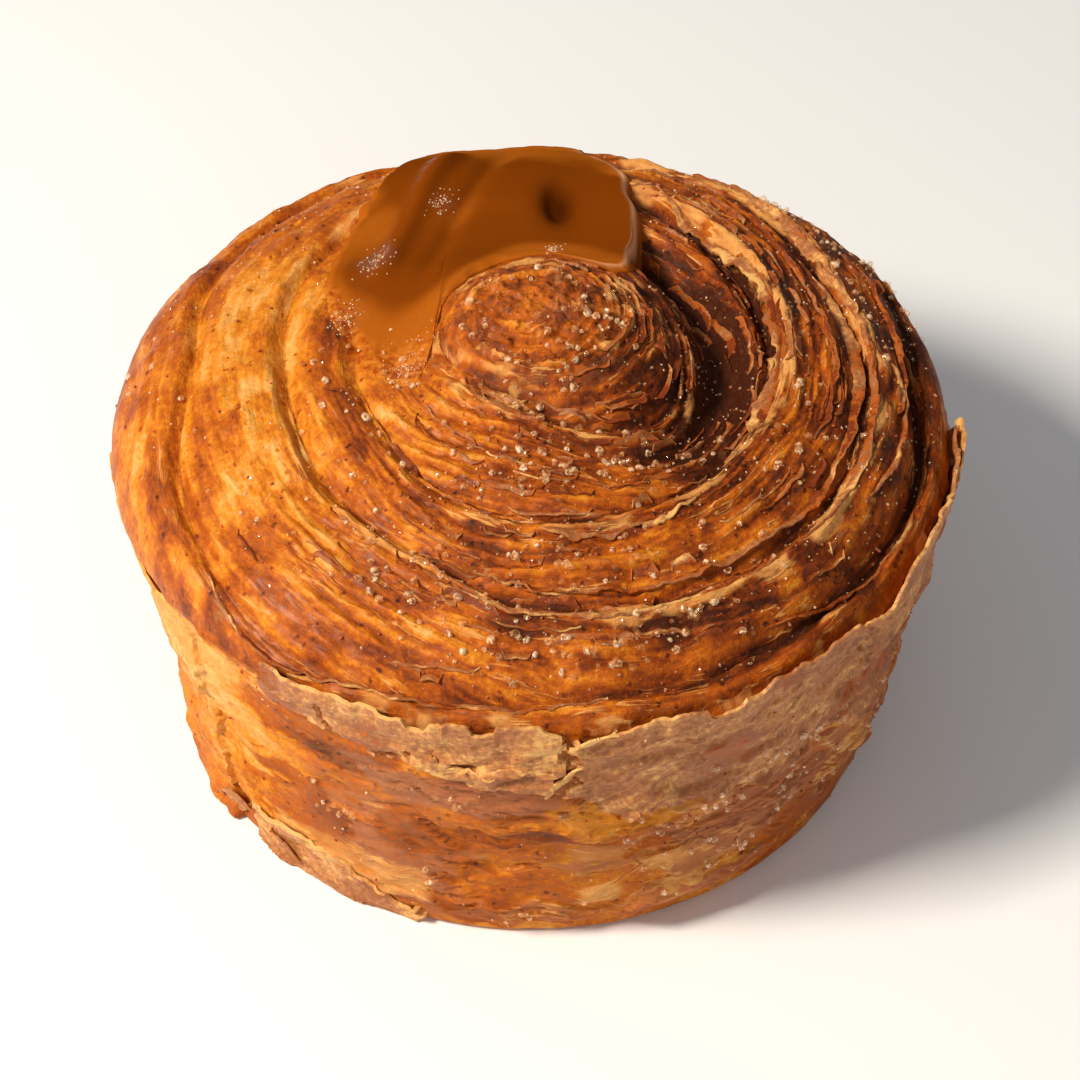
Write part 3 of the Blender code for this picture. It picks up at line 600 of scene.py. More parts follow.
def caramel_thickness(x, y, inset, film, surface):
    """How thick the caramel lies; inset is 0 at its edge and 1 well inside, film is 1 where it runs out."""
    poured = through(CARAMEL_TOP, y) - surface
    poured = poured - 1.3 * smoothstep(-8.0, -21.0, x)
    folds = sum(fold[3] * hump(off_fold(x, y, fold), fold[4]) for fold in CARAMEL_FOLDS)
    poured = poured + folds * smoothstep(6.0, 14.0, y) * smoothstep(42.0, 34.0, y)
    poured = poured - DIMPLE_DEPTH * hump(off_dimple(x, y), DIMPLE_WIDTH)
    soft = 0.3
    full = CARAMEL_FILM + soft * np.logaddexp(0.0, (poured - CARAMEL_FILM) / soft)
    edge = CARAMEL_LIP * np.sqrt(1 - (1 - inset) ** 2)
    thickness = edge + (full - CARAMEL_LIP) * smoothstep(0.0, 1.0, inset) ** 0.8
    return thickness * (1.0 - CARAMEL_THINNING * film)


def film_share(x, y, out_from_middle):
    """How far the pour thins to a film; out_from_middle is 0 at its middle and 1 at its edge."""
    beside_knob = smoothstep(-6.0, -11.0, x)
    film = smoothstep(16.0, 2.0, y) * smoothstep(0.75, 1.0, out_from_middle)
    return beside_knob * np.maximum(film, 0.8 * smoothstep(6.0, -6.0, y))


def rim_top(angle):
    """Height at which the wall begins, under the shoulder."""
    return crown_height(*at_angle(around(RIM_ROUND, angle), angle))


def wall_radius(angle, height):
    """Distance of the wall's main form from the coil's axis."""
    share = np.clip(height / rim_top(angle), 0.0, 1.0)
    foot = around(FOOT_ROUND, angle)
    radius = foot + (around(RIM_ROUND, angle) - foot) * share ** around(WALL_CURVE, angle)
    u, v = at_angle(1.0, angle)
    strata = UNEVEN * unevenness(3.0 * u, height / 5.0 + 2.0 * v)
    return radius + strata * smoothstep(0.0, 4.0, height) * smoothstep(1.0, 0.85, share)


def against_wall(angle, height):
    """The nearest height at which there is wall, just under the shoulder."""
    return np.minimum(height, rim_top(angle) - 0.5)


# ---- the fine layers of the dough --------------------------------------------------------------------


def strip_place(radius, angle):
    """A point's place on the coiled strip: distance along it, distance across it, and turns wound so far."""
    edges = np.array([np.where(there > 0, edge, FAR) for _, edge, there in coil_turns(angle)])
    count = (radius[None, :] >= edges).sum(axis=0)
    columns = np.arange(len(radius))
    inner = np.where(count > 0, edges[np.maximum(count - 1, 0), columns], 0.0)
    phi = angle + 360.0 * (count - 1 + EDGE_TURNS[0])
    table = np.arange(-1300.0, 1100.0, 5.0)
    reach = np.cumsum((through(COIL_EDGE, table) + 3.0) * math.radians(5.0))
    return np.interp(phi, table, reach), radius - inner, phi / 360.0


def leaf_lips(along, across, pitch, seed):
    """Overlapping leaf edges across the strip: height from 0 to 1."""
    drift = noise(along / 13.0, across / 4.5, 3.0 + seed)
    drift = drift + 0.42 * noise(along / 4.0, across / 1.5, 7.0 + seed)
    drift = drift + 0.16 * noise(along / 1.1, across / 0.9, 9.0 + seed)
    count = (across + drift) / pitch
    leaf = np.floor(count)
    share = count - leaf
    vigour = np.clip(0.25 + 1.1 * rough_noise(along / 5.5, leaf * 3.7, 11.0 + seed, 2), 0.0, 1.0)
    return vigour * smoothstep(0.05, 0.72, share) * (1.0 - smoothstep(0.80, 1.0, share))


def crown_surface(x, y, dough):
    """The crown's height with its leaves, fibres and blisters, and how much each shows."""
    radius = np.hypot(x, y)
    angle = np.degrees(np.arctan2(y, x))
    along, across, turn = strip_place(radius, angle)
    pitch = dough.leaf_pitch / MM
    broad = leaf_lips(along, across + 2.3 * turn, pitch, 0.0)
    fine = leaf_lips(along * 1.6, across + 1.1 * turn, 0.45 * pitch, 40.0)
    fibres = noise(along / 1.9, across / 0.34, 2.0 + turn)
    lumps = rough_noise(x / 2.6, y / 2.6, 5.0, 4)
    bare = 1.0 - smoothstep(-0.5, 2.0, inside_caramel(x, y))
    knob_coil = smoothstep(1.0, 4.0, radius) * on_knob(x, y, KNOB_SIDE)
    layered = np.maximum(around(LAYERED, angle) * smoothstep(3.0, 9.0, radius), 0.8 * knob_coil)
    layered = layered * (0.3 + 0.7 * bare)
    relief = dough.leaf_relief / MM * (broad + 0.45 * fine) * layered
    relief += FIBRE_RELIEF * fibres * (0.4 + 0.6 * layered)
    relief += CROWN_BLISTERS * lumps * (1.1 - 0.4 * layered) * (0.2 + 0.8 * bare)
    knob = on_knob(x, y, KNOB_TOP)
    relief += (0.10 + 0.08 * knob) * rough_noise(x / 0.8, y / 0.8, 9.0, 2) * (0.3 + 0.7 * bare)
    relief += KNOB_BLISTERS * rough_noise(x / 1.4, y / 1.4, 9.0, 2) * knob
    fade = 1.0 - smoothstep(-0.7, 0.0, radius - around(RIM_ROUND, angle))
    return crown_height(x, y) + relief * fade, {
        "along": along, "across": across, "turn": turn, "broad": broad, "fine": fine, "fibres": fibres,
        "lumps": lumps, "layered": layered}


def drape(u, v, height):
    """How far the wall's layers wander up and down as they go round."""
    return 2.6 * noise(6.0 * u, 6.0 * v, 4.0) + 0.9 * noise(15.0 * u, 15.0 * v, height / 12.0)


def wall_skins(angle, height):
    """Torn skins that lie over one another on the wall: how many, how edge-like, how brown and how mauve."""
    u, v = at_angle(1.0, angle)
    height = height + drape(u, v, height)
    layers, edge, tone, mauve = 0.0, 0.0, 0.0, 0.0
    for number, (broad, tall, bar, shade, violet) in enumerate(SKINS):
        reach = RIM_REACH / broad
        field = noise(reach * u, reach * v, height / tall + 7.0 * number)
        field = field + 0.38 * rough_noise(3 * reach * u, 3 * reach * v, 3 * height / tall + 5.0 * number, 4)
        cover = smoothstep(-0.035, 0.035, field - bar)
        layers = layers + cover
        broken = smoothstep(-0.2, 0.5, noise(5 * u, 5 * v, height / 6))
        edge = np.maximum(edge, hump(field - bar - 0.05, 0.05) * broken)
        tone = tone * (1.0 - cover) + shade * cover
        mauve = mauve * (1.0 - cover) + violet * cover
    return layers, edge, tone, mauve


def wall_surface(angle, height, dough):
    """The wall's distance from the axis with its skins and folds, and how much each shows."""
    layers, edge, tone, mauve = wall_skins(angle, height)
    u, v = at_angle(1.0, angle)
    left = smoothstep(-0.62, -0.85, u)
    slant = height + drape(u, v, height) - 9.0 * u * smoothstep(0.0, 0.5, u)
    fibres = noise(9.0 * u, 9.0 * v, slant / 0.8)
    lumps = rough_noise(12.0 * u, 12.0 * v, height / 2.6 + 4.0)
    folds = noise(16.0 * u, 16.0 * v, height / 22.0)
    skins = layers * (1.0 - 0.6 * left) * smoothstep(1.0, 6.0, height) - 0.5
    relief = dough.wall_relief / MM * skins + FIBRE_RELIEF * fibres
    relief = relief + WALL_BLISTERS * lumps + WALL_FOLDS * folds * left
    fade = smoothstep(0.0, 2.0, height)
    return wall_radius(angle, height) + relief * fade, {
        "edge": edge, "tone": tone, "mauve": mauve, "lumps": lumps, "left": left, "slant": slant}


def wall_colours(angle, height, radius, shown):
    """How brown, pale, mauve and glossy the wall is, and the direction of its grain."""
    x, y = at_angle(radius, angle)
    slow = noise(x / 16.0, y / 16.0, height / 12.0)
    left, right = shown["left"], smoothstep(-0.1, 0.8, np.cos(np.radians(angle)))
    bake = 0.48 + shown["tone"] * (1 - 0.5 * left) + 0.14 * slow + 0.08 * shown["lumps"] - 0.13 * left
    cream = 0.10 + 0.40 * shown["edge"] * (1 - 0.5 * left)
    cream = cream + 0.3 * (1.0 - 0.6 * left) * smoothstep(0.2, 0.8, noise(x / 7.0, y / 7.0, height / 4.0))
    # Painted shade: mauve towards the right side, away from the key light; elsewhere mauve is dry skin with a
    # painted sheen
    mauve = shown["mauve"] * (0.7 + 0.5 * slow) * (1.0 - 0.9 * left) + 0.35 * right
    wander = 0.35 * rough_noise(x / 6.0, y / 6.0, height / 3.0, 3)
    for (middle, level), (wide, tall), (browner, creamier, violet) in WALL_PATCHES:
        across = np.radians((angle - middle + 180.0) % 360.0 - 180.0) * WALL_REACH / wide
        patch = smoothstep(1.15, 0.75, np.hypot(across, (height - level) / tall) + wander)
        bake, cream, mauve = bake + browner * patch, cream + creamier * patch, mauve + violet * patch
    return {"bake": bake, "cream": cream, "mauve": np.clip(mauve, 0.0, 1.0), "gloss": 0.10 + 0.2 * left,
            "layers": 0.3, "dust": (0.16 + 0.2 * slow) * (1.0 - 0.5 * left),
            "grain": np.column_stack((x / 4.0, y / 4.0, shown["slant"] / 1.3))}


# ---- mesh helpers ------------------------------------------------------------------------------------


def place(points):
    """Millimetres from the coil's axis to metres in the part's own frame."""
    return (np.asarray(points, float) + np.array([COIL_AXIS[0], COIL_AXIS[1], 0.0])) * MM


def deselect_all():
    """Leave edit mode and select nothing."""
    if bpy.context.object is not None and bpy.context.object.mode != "OBJECT":
        bpy.ops.object.mode_set(mode="OBJECT")
    bpy.ops.object.select_all(action="DESELECT")


def only(obj):
    """Select one object alone and make it active."""
    deselect_all()
    obj.select_set(True)
    bpy.context.view_layer.objects.active = obj


def vertices_of(obj):
    """The places of a mesh's vertices, one row each."""
    flat = np.empty(len(obj.data.vertices) * 3)
    obj.data.vertices.foreach_get("co", flat)
    return flat.reshape(-1, 3)


def shape(obj, x, y, height):
    """Move each vertex to its place, in millimetres from the coil's axis."""
    obj.data.vertices.foreach_set("co", place(np.column_stack((x, y, height))).ravel())
    obj.data.update()


def keep_numbers(obj, **fields):
    """Store a number or a vector for each vertex, for the finish to read."""
    count = len(obj.data.vertices)
    for name, values in fields.items():
        values = np.asarray(values, float)
        if values.ndim == 2:
            layer = obj.data.attributes.new(name, "FLOAT_VECTOR", "POINT")
            layer.data.foreach_set("vector", values.ravel())
        else:
            layer = obj.data.attributes.new(name, "FLOAT", "POINT")
            layer.data.foreach_set("value", np.broadcast_to(values, (count,)).copy())


def new_sheet(name, columns, rows):
    """A flat grid, and each vertex's share along it and across it."""
    deselect_all()
    bpy.ops.mesh.primitive_grid_add(x_subdivisions=columns, y_subdivisions=rows, size=2.0)
    sheet = bpy.context.object
    sheet.name = sheet.data.name = name
    flat = vertices_of(sheet)
    return sheet, (flat[:, 0] + 1.0) / 2.0, (flat[:, 1] + 1.0) / 2.0


def new_ball(name, segments, rings):
    """A fine round ball, and each vertex's turn round it and share of the way from its top to its foot."""
    deselect_all()
    bpy.ops.mesh.primitive_uv_sphere_add(segments=segments, ring_count=rings, radius=1.0)
    ball = bpy.context.object
    ball.name = ball.data.name = name
    flat = vertices_of(ball)
    return ball, np.arctan2(flat[:, 1], flat[:, 0]), np.arccos(np.clip(flat[:, 2], -1.0, 1.0)) / math.pi


def thicken(obj, thickness):
    """Give a sheet its thickness, and close it."""
    only(obj)
    solid = obj.modifiers.new("Thickness", "SOLIDIFY")
    solid.thickness = thickness
    solid.offset = 0.0
    solid.use_even_offset = False
    bpy.ops.object.modifier_apply(modifier=solid.name)
    bpy.ops.object.mode_set(mode="EDIT")
    bpy.ops.mesh.select_all(action="SELECT")
    bpy.ops.mesh.normals_make_consistent(inside=False)
    bpy.ops.object.mode_set(mode="OBJECT")


def join(pieces, name):
    """Many objects of one kind as one piece."""
    deselect_all()
    for piece in pieces:
        piece.select_set(True)
    bpy.context.view_layer.objects.active = pieces[0]
    if len(pieces) > 1:
        bpy.ops.object.join()
    made = bpy.context.object
    made.name = made.data.name = name
    return made


def finish_piece(obj, material, smooth=SMOOTH_ANGLE):
    """Smooth it up to an angle, paint it and fix it to the pastry."""
    only(obj)
    bpy.ops.object.shade_smooth_by_angle(angle=math.radians(smooth))
    obj.data.materials.clear()
    obj.data.materials.append(material)
    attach(obj, BODY)
    return obj


# ---- shader maths ------------------------------------------------------------------------------------


class Value:
    """A number over the surface; arithmetic on it adds Math nodes."""

    def __init__(self, paint, socket):
        self.paint = paint
        self.socket = socket

    def __add__(self, other):
        return self.paint.math("ADD", self, other)

    def __sub__(self, other):
        return self.paint.math("SUBTRACT", self, other)

    def __rsub__(self, other):
        return self.paint.math("SUBTRACT", other, self)

    def __mul__(self, other):
        return self.paint.math("MULTIPLY", self, other)

    __radd__ = __add__
    __rmul__ = __mul__

    def within(self, low, high):
        """0 below low, 1 above high, and smooth between."""
        return self.paint.node("MapRange", {"interpolation_type": "SMOOTHSTEP"},
                               {"Value": self, "From Min": low, "From Max": high})


class Paint:
    """One food finish: a Principled shader and the nodes that feed it."""

    def __init__(self, name, **constants):
        self.material = bpy.data.materials.new(name)
        self.material.use_nodes = True
        self.tree = self.material.node_tree
        self.shader = self.tree.nodes["Principled BSDF"]
        self.set(**constants)

    def feed(self, socket, value):
        """Give a socket a link or a plain value."""
        if isinstance(value, Value):
            self.tree.links.new(value.socket, socket)
        elif socket.type == "RGBA":
            socket.default_value = (*value, 1.0)
        else:
            socket.default_value = value

    def node(self, kind, settings=None, inputs=None, output=0):
        """Any node: its type, its settings, the values or links of its sockets, and the output wanted."""
        made = self.tree.nodes.new("ShaderNode" + kind)
        for key, value in (settings or {}).items():
            if key == "stops":
                for extra in range(len(value) - 2):
                    made.color_ramp.elements.new(0.5)
                for element, (position, colour) in zip(made.color_ramp.elements, value):
                    element.position = position
                    element.color = (*colour, 1.0)
            else:
                setattr(made, key, value)
        for key, value in (inputs or {}).items():
            self.feed(made.inputs[key], value)
        return Value(self, made.outputs[output])

    def math(self, operation, first, second):
        return self.node("Math", {"operation": operation}, {0: first, 1: second})

    def mix(self, share, first, second):
        """From the first colour to the second by a share."""
        return self.node("Mix", {"data_type": "RGBA"}, {0: share, 6: first, 7: second}, output=2)

    def kept(self, name, output="Fac"):
        """A number or vector kept on the mesh."""
        return self.node("Attribute", {"attribute_name": name}, output=output)

    def spot(self, scale):
        """The place on the piece, in features of the given number to a metre."""
        where = self.node("TexCoord", output="Object")
        return self.node("Mapping", {}, {"Vector": where, "Scale": scale})

    def noise(self, vector, scale, detail, roughness):
        return self.node("TexNoise", {}, {"Vector": vector, "Scale": scale, "Detail": detail,
                                          "Roughness": roughness})

    def cloud(self, scale, detail, roughness):
        """Even noise all through the piece, in features of the given number to a metre."""
        return self.noise(self.spot((scale, scale, scale)), 1.0, detail, roughness)

    def wisps(self, vector, scale):
        """Fine wandering lines, where a slow noise passes its middle value."""
        slow = self.noise(vector, scale, 3.0, 0.5)
        return 1.0 - self.math("ABSOLUTE", slow - 0.5, 0.0).within(0.0, 0.05)

    def dots(self, scale, rare):
        """Uneven spots, as many to a metre as the scale, of which the given share is left out."""
        where = self.spot((scale, scale, scale))
        stir = self.node("TexNoise", {}, {"Vector": where, "Scale": 1.6, "Detail": 2.0}, output="Color")
        stirred = {0: stir, 1: (0.9, 0.9, 0.9), 2: where}
        where = self.node("VectorMath", {"operation": "MULTIPLY_ADD"}, stirred)
        cell = {"Vector": where, "Scale": 1.0}
        near = 1.0 - self.node("TexVoronoi", {}, cell, output="Distance").within(0.18, 0.42)
        drawn = self.node("SeparateColor", {}, {0: self.node("TexVoronoi", {}, cell, output="Color")})
        return near * drawn.within(rare, rare + 0.05)

    def bump(self, height, distance, strength, under=None):
        """A relief of the given height in metres, over the one beneath it if there is one."""
        inputs = {"Height": height, "Distance": distance, "Strength": strength}
        if under is not None:
            inputs["Normal"] = under
        return self.node("Bump", {}, inputs)

    def set(self, **sockets):
        """Give the shader's sockets their links or plain values, and the finish back."""
        for name, value in sockets.items():
            self.feed(self.shader.inputs[name.replace("_", " ").title().replace("Ior", "IOR")], value)
        return self.material


def crust_finish(dough):
    """Baked, laminated dough: brown by its baking and by painted shade, with cream edges, creases darkened by
    painted shade, and fine fibres.
    """
    paint = Paint(CRUST_FINISH, subsurface_weight=0.10, subsurface_scale=1.2 * MM, coat_roughness=0.25,
                  specular_ior_level=0.14, subsurface_radius=(1.0, 0.42, 0.16))
    grain = paint.kept("grain", "Vector")
    fibres = paint.noise(grain, 1.0, 6.0, 0.66)
    threads = paint.noise(grain, 3.1, 4.0, 0.65)
    lengthwise = paint.node("Mapping", {}, {"Vector": grain, "Scale": (0.28, 1.0, 1.0)})
    wisps = paint.wisps(lengthwise, 1.0) * paint.noise(grain, 0.45, 2.0, 0.5).within(0.42, 0.62)
    wisps = wisps * (1.2 - paint.kept("bake")).within(0.0, 0.55)
    blotches = paint.cloud(160.0, 4.0, 0.6)
    grit = paint.cloud(1500.0, 3.0, 0.65)
    layers = paint.kept("layers")
    tone = paint.kept("bake") + ((fibres - 0.5) * 0.60 + (threads - 0.5) * 0.30) * (layers * 0.65 + 0.35)
    tone = tone + (blotches - 0.5) * (layers * 0.17 + 0.28) + (grit - 0.5) * 0.55
    blisters = paint.dots(1150.0, 0.55)
    specks = paint.dots(1100.0, 0.86)
    tone = tone - blisters * 0.06 + specks * 0.30
    brown = paint.node("ValToRGB", {"stops": [
        (0.0, dough.cream), (0.30, dough.golden), (0.52, dough.amber), (0.78, dough.russet),
        (1.0, dough.deep_shade)]}, {"Fac": tone})
    cream = paint.kept("cream") + (fibres - 0.5) * 0.8 * (layers * 0.5 + 0.5) + (grit - 0.5) * 0.3
    cream = (cream + wisps * (layers * 0.30 + 0.14)).within(0.28, 0.62)
    # Mauve: dry skin, with painted sheen and painted shade
    mauve = (paint.kept("mauve") + (fibres - 0.5) * 0.5 + (blotches - 0.5) * 0.5).within(0.3, 0.75)
    colour = paint.mix(mauve * 0.75, brown, dough.mauve)
    haze = paint.kept("dust") + (grit - 0.5) * 0.7 + (fibres - 0.5) * 0.4
    colour = paint.mix(haze.within(0.0, 1.0) * 0.8, colour, dough.dust)
    mottled = (fibres * 0.55 + blotches * 0.3 + grit * 0.3).within(0.46, 0.68)
    colour = paint.mix(cream * 0.85, colour, paint.mix(mottled * 0.75, dough.cream, MOTTLED_CREAM))
    gloss = paint.kept("gloss")
    roughness = 0.68 - gloss * 0.30 + (fibres - 0.5) * 0.25 + cream * 0.1
    normal = paint.bump(fibres, 0.30 * MM, 0.5)
    normal = paint.bump(threads, 0.12 * MM, 0.55, normal)
    normal = paint.bump(wisps * layers, 0.15 * MM, 0.5, normal)
    normal = paint.bump(grit, 0.18 * MM, 0.7, normal)
    normal = paint.bump(blisters, 0.15 * MM, 0.3, normal)
    return paint.set(base_color=colour, roughness=roughness, normal=normal,
                     coat_weight=(gloss * 0.35 - cream * 0.25).within(0.0, 1.0))


def leaf_finish(dough, leaves):
    """A thin dry leaf: pale, with toasted patches and long faint streaks."""
    paint = Paint("dry_leaf", subsurface_weight=0.15, subsurface_scale=1.0 * MM, specular_ior_level=0.3,
                  subsurface_radius=(1.0, 0.5, 0.22))
    grain = paint.kept("grain", "Vector")
    streaks = paint.noise(grain, 0.9, 5.0, 0.62)
    patches = paint.noise(paint.spot((130.0, 130.0, 240.0)), 1.0, 4.0, 0.6)
    grit = paint.cloud(1700.0, 2.0, 0.6)
    brown = paint.kept("brown") + (streaks - 0.5) * 1.1 + (patches - 0.5) * 1.1 + (grit - 0.5) * 1.0
    colour = paint.node("ValToRGB", {"stops": [
        (0.0, dough.cream), (0.25, leaves.pale), (0.58, leaves.toasted), (0.82, dough.amber),
        (1.0, dough.russet)]}, {"Fac": brown})
    normal = paint.bump(streaks, 0.30 * MM, 0.5)
    normal = paint.bump(grit, 0.14 * MM, 0.6, normal)
    return paint.set(base_color=colour, roughness=0.55 + (streaks - 0.5) * 0.2, normal=normal)


def caramel_finish(caramel):
    """Soft caramel: golden where it is a film, deep amber where it lies thick, with a wet gloss, painted
    shade in its dimple and a painted highlight on its right rim.
    """
    paint = Paint("soft_caramel", subsurface_weight=0.15, subsurface_scale=2.0 * MM, coat_roughness=0.10,
                  coat_ior=1.35, specular_ior_level=0.0, subsurface_radius=(1.0, 0.32, 0.06))
    cloud = paint.cloud(120.0, 3.0, 0.5)
    ripple = paint.cloud(420.0, 3.0, 0.6)
    crumbs = paint.cloud(900.0, 4.0, 0.65)
    beads = paint.cloud(1500.0, 3.0, 0.6)
    film, wet = paint.kept("film"), paint.kept("wet")
    share = (paint.kept("depth") + (cloud - 0.5) * 0.35).within(0.05, 0.85)
    colour = paint.mix(share, caramel.thin, caramel.thick)
    # Painted shade: the dimple is darkened
    colour = paint.mix(paint.kept("pit") * 0.8, colour, PAINTED_DIMPLE_SHADE)
    crusty = paint.mix(crumbs.within(0.35, 0.65), CRUMB_DARK, CRUMB_LIGHT)
    colour = paint.mix((film + (cloud - 0.5) * 0.6).within(0.25, 0.75), colour, crusty)
    # Painted highlight: a pale band along the pour's right rim
    colour = paint.mix(paint.kept("rim"), colour, PAINTED_RIM_HIGHLIGHT)
    normal = paint.bump(ripple, 0.25 * MM, 0.25)
    normal = paint.bump(crumbs * film, 0.35 * MM, 0.7, normal)
    normal = paint.bump(beads * wet, 0.30 * MM, 0.6, normal)
    return paint.set(base_color=colour, roughness=0.34 - wet * 0.16 + (ripple - 0.5) * 0.12, normal=normal,
                     coat_weight=(wet + (ripple - 0.5) * 0.4).within(0.25, 0.95))


def sugar_finish(sugar):
    """Clear sugar: the crust shows through it, and it glints."""
    paint = Paint("clear_sugar", coat_weight=1.0, coat_roughness=0.03, specular_ior_level=0.5)
    frost = paint.cloud(2600.0, 2.0, 0.6)
    solid = paint.kept("solid")
    colour = paint.mix(solid.within(0.1, 0.8), HONEY, sugar.clear)
    return paint.set(base_color=colour, roughness=0.05 + frost * 0.15,
                     alpha=(0.13 + solid * 0.68).within(0.0, 1.0))


def spice_finish(sugar):
    """Ground spice and dark crumbs."""
    paint = Paint("ground_spice")
    grit = paint.cloud(1800.0, 2.0, 0.6)
    colour = paint.mix(grit, sugar.spice, SPICE_LIGHT)
    return paint.set(base_color=colour, roughness=0.5 + grit * 0.3, normal=paint.bump(grit, 0.1 * MM, 0.6))


def floor_finish(stage):
    """A plain pale floor with the faintest grain."""
    paint = Paint("pale_floor", specular_ior_level=0.2)
    grain = paint.cloud(40.0, 3.0, 0.5)
    colour = paint.mix(grain * 0.04, stage.floor, FLOOR_GRAIN)
    return paint.set(base_color=colour, roughness=0.7 + grain * 0.1)


# ---- the operators -----------------------------------------------------------------------------------


class CRUFFIN_OT_dough(bpy.types.Operator):
    """Make the coiled, laminated dough: the crown, and the wall beneath it"""
    bl_idname = "cruffin.dough"
    bl_label = "Dough"

    def execute(self, context):
        dough = context.scene.cruffin_dough
        finish = crust_finish(dough)
        crown = finish_piece(self.crown(dough), finish)
        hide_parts("pastry")
        finish_piece(self.wall(dough), finish)
        return {"FINISHED"}

    def crown(self, dough):
        """The coil on top, down over the shoulder, and closed underneath out of sight."""
        body, turn, ring = new_ball("dough_crown", *dough.crown_steps)
        angle = np.degrees(turn)
        rim, top = around(RIM_ROUND, angle), rim_top(angle)
        skirt = LAP / (LAP + np.mean(rim)) * CROWN_SHARE
        on_top = ring <= CROWN_SHARE - skirt
        under = ring > CROWN_SHARE
        radius = rim * np.clip(ring / (CROWN_SHARE - skirt), 0.0, 1.0)
        surface, shown = crown_surface(*at_angle(radius, angle), dough)
        down = np.clip((ring - CROWN_SHARE + skirt) / skirt, 0.0, 1.0)
        height = top - LAP * down
        side, on_side = wall_surface(angle, height, dough)
        side = rim + (side - rim) * smoothstep(0.0, 0.6, down)
        inward = np.clip((1.0 - ring) / (1.0 - CROWN_SHARE), 0.0, 1.0)
        radius = np.where(on_top, radius, np.where(under, (side - 0.3) * inward, side))
        height = np.where(on_top, surface, height)
        shape(body, *at_angle(radius, angle), height)
        crust = self.crown_colours(radius, angle, shown)
        wall = wall_colours(angle, height, radius, on_side)
        low = smoothstep(0.2, 1.0, down)
        for name in ("bake", "cream", "mauve", "gloss", "layers", "dust"):
            crust[name] = crust[name] * (1.0 - low) + wall[name] * low
        keep_numbers(body, **crust)
        return body

    def crown_colours(self, radius, angle, shown):
        """How brown, pale and glossy the crown is, with painted shade in its hollows, creases and right side,
        and the direction of its grain.
        """
        x, y = at_angle(radius, angle)
        left = smoothstep(-0.2, -0.8, np.cos(np.radians(angle)))
        layered = shown["layered"]
        lips = shown["broad"] + 0.5 * shown["fine"]
        # Browner baking by side, with painted shade darker towards the right
        bake = around(BAKED_AND_SHADED, angle)
        knob = on_knob(x, y, KNOB_SIDE)
        # Painted shade: the knob's crust darkens towards its right side, away from the key light
        bake = bake + (0.62 + 0.006 * x - bake) * knob
        # Painted shade: darker down in the hollow round the knob and in the gaps between leaf lips, a little
        # lighter on the lips
        moat = hump(radius - around(MOAT_LINE, angle), MOAT_WIDTH)
        moat = moat * smoothstep(1.0, 4.0, around(MOAT_DEPTH, angle))
        bake = bake + 0.70 * moat + (0.10 * smoothstep(0.3, 0.0, lips) - 0.22 * lips) * layered
        bake = bake + 0.10 * shown["lumps"] + 0.06 * shown["fibres"] * layered
        bake = bake + (0.10 - 0.04 * left) * rough_noise(x / 7.0, y / 7.0, 1.0)
        cream = np.zeros_like(bake)
        for unrolled, edge, there in coil_turns(angle):
            # Painted shade: darker down in each crease, and darker just outside the edge by browning and
            # painted shade
            crease = there * through(EDGE_CREASE, unrolled) * hump(radius - edge, 0.7)
            browned_and_shaded = there * np.maximum(through(EDGE_BAKE_AND_SHADE, unrolled), 0.0)
            bake = bake + 0.22 * (1.0 - 0.8 * left) * crease + browned_and_shaded * hump(radius - edge - 3.0, 1.9)
            cream = cream + there * through(EDGE_CREAM, unrolled) * hump(radius - edge - 1.5, 1.25)
        cream = cream * (0.55 + 0.6 * rough_noise(x / 3.0, y / 3.0, 2.0)) + 0.24 * lips * layered
        cream = cream + 0.36 * knob * smoothstep(0.25, 0.9, rough_noise(x / 2.4, y / 2.4, 6.0))
        # Painted sheen: mauve spiral tracks on the knob
        tracks = knob * rough_noise(shown["along"] / 5.0, shown["across"] / 1.1, 21.0)
        past_rim = radius - around(RIM_ROUND, angle)
        rim = smoothstep(-3.2, -1.2, past_rim) * hump(angle + 20.0, 45.0)
        bake = bake + 0.15 * rim + 0.19 * left * smoothstep(34.0, 43.0, radius)
        streaks = rough_noise(shown["along"] / 9.0, shown["across"] / 2.2, 7.0, 4)
        bake = bake + left * (0.06 - 0.22 * smoothstep(-0.3, 0.9, streaks)) * smoothstep(22.0, 30.0, radius)
        brim = smoothstep(-2.2, 0.2, past_rim) * (1.0 - left)
        brown = 0.56 + 0.13 * hump(angle + 85.0, 40.0) + 0.1 * shown["lumps"] + 0.1 * shown["fibres"]
        bake = bake + (brown - bake) * brim
        grain = np.column_stack((shown["along"] / 2.6, shown["across"] / 0.75, shown["turn"] * 3.1))
        return {"bake": bake, "cream": cream, "mauve": 0.42 * smoothstep(0.1, 0.7, tracks),
                "dust": 0.02 + 0.07 * knob, "layers": layered, "gloss": 0.25 + 0.35 * left - 0.15 * knob,
                "grain": grain}

    def wall(self, dough):
        """The wall, from under the crown's lap down to the foot."""
        body, turn, ring = new_ball("dough_wall", *dough.wall_steps)
        angle = np.degrees(turn)
        first, last = WALL_SHARE
        top = rim_top(angle) - 0.85 * LAP
        down = np.clip((ring - first) / (last - first), 0.0, 1.0)
        height = top + (FOOT_BEVEL - top) * down
        radius, shown = wall_surface(angle, height, dough)
        radius = radius - 0.3 * (1.0 - smoothstep(0.0, 0.04, down))
        inward = np.clip((1.0 - ring) / (1.0 - last), 0.0, 1.0)
        foot = (around(FOOT_ROUND, angle) - FOOT_BEVEL) * np.clip(1.2 * inward, 0.0, 1.0)
        radius = np.where(ring < first, radius * ring / first, np.where(ring > last, foot, radius))
        height = np.where(ring > last, 0.0, height)
        shape(body, *at_angle(radius, angle), height)
        keep_numbers(body, **wall_colours(angle, height, radius, shown))
        return body


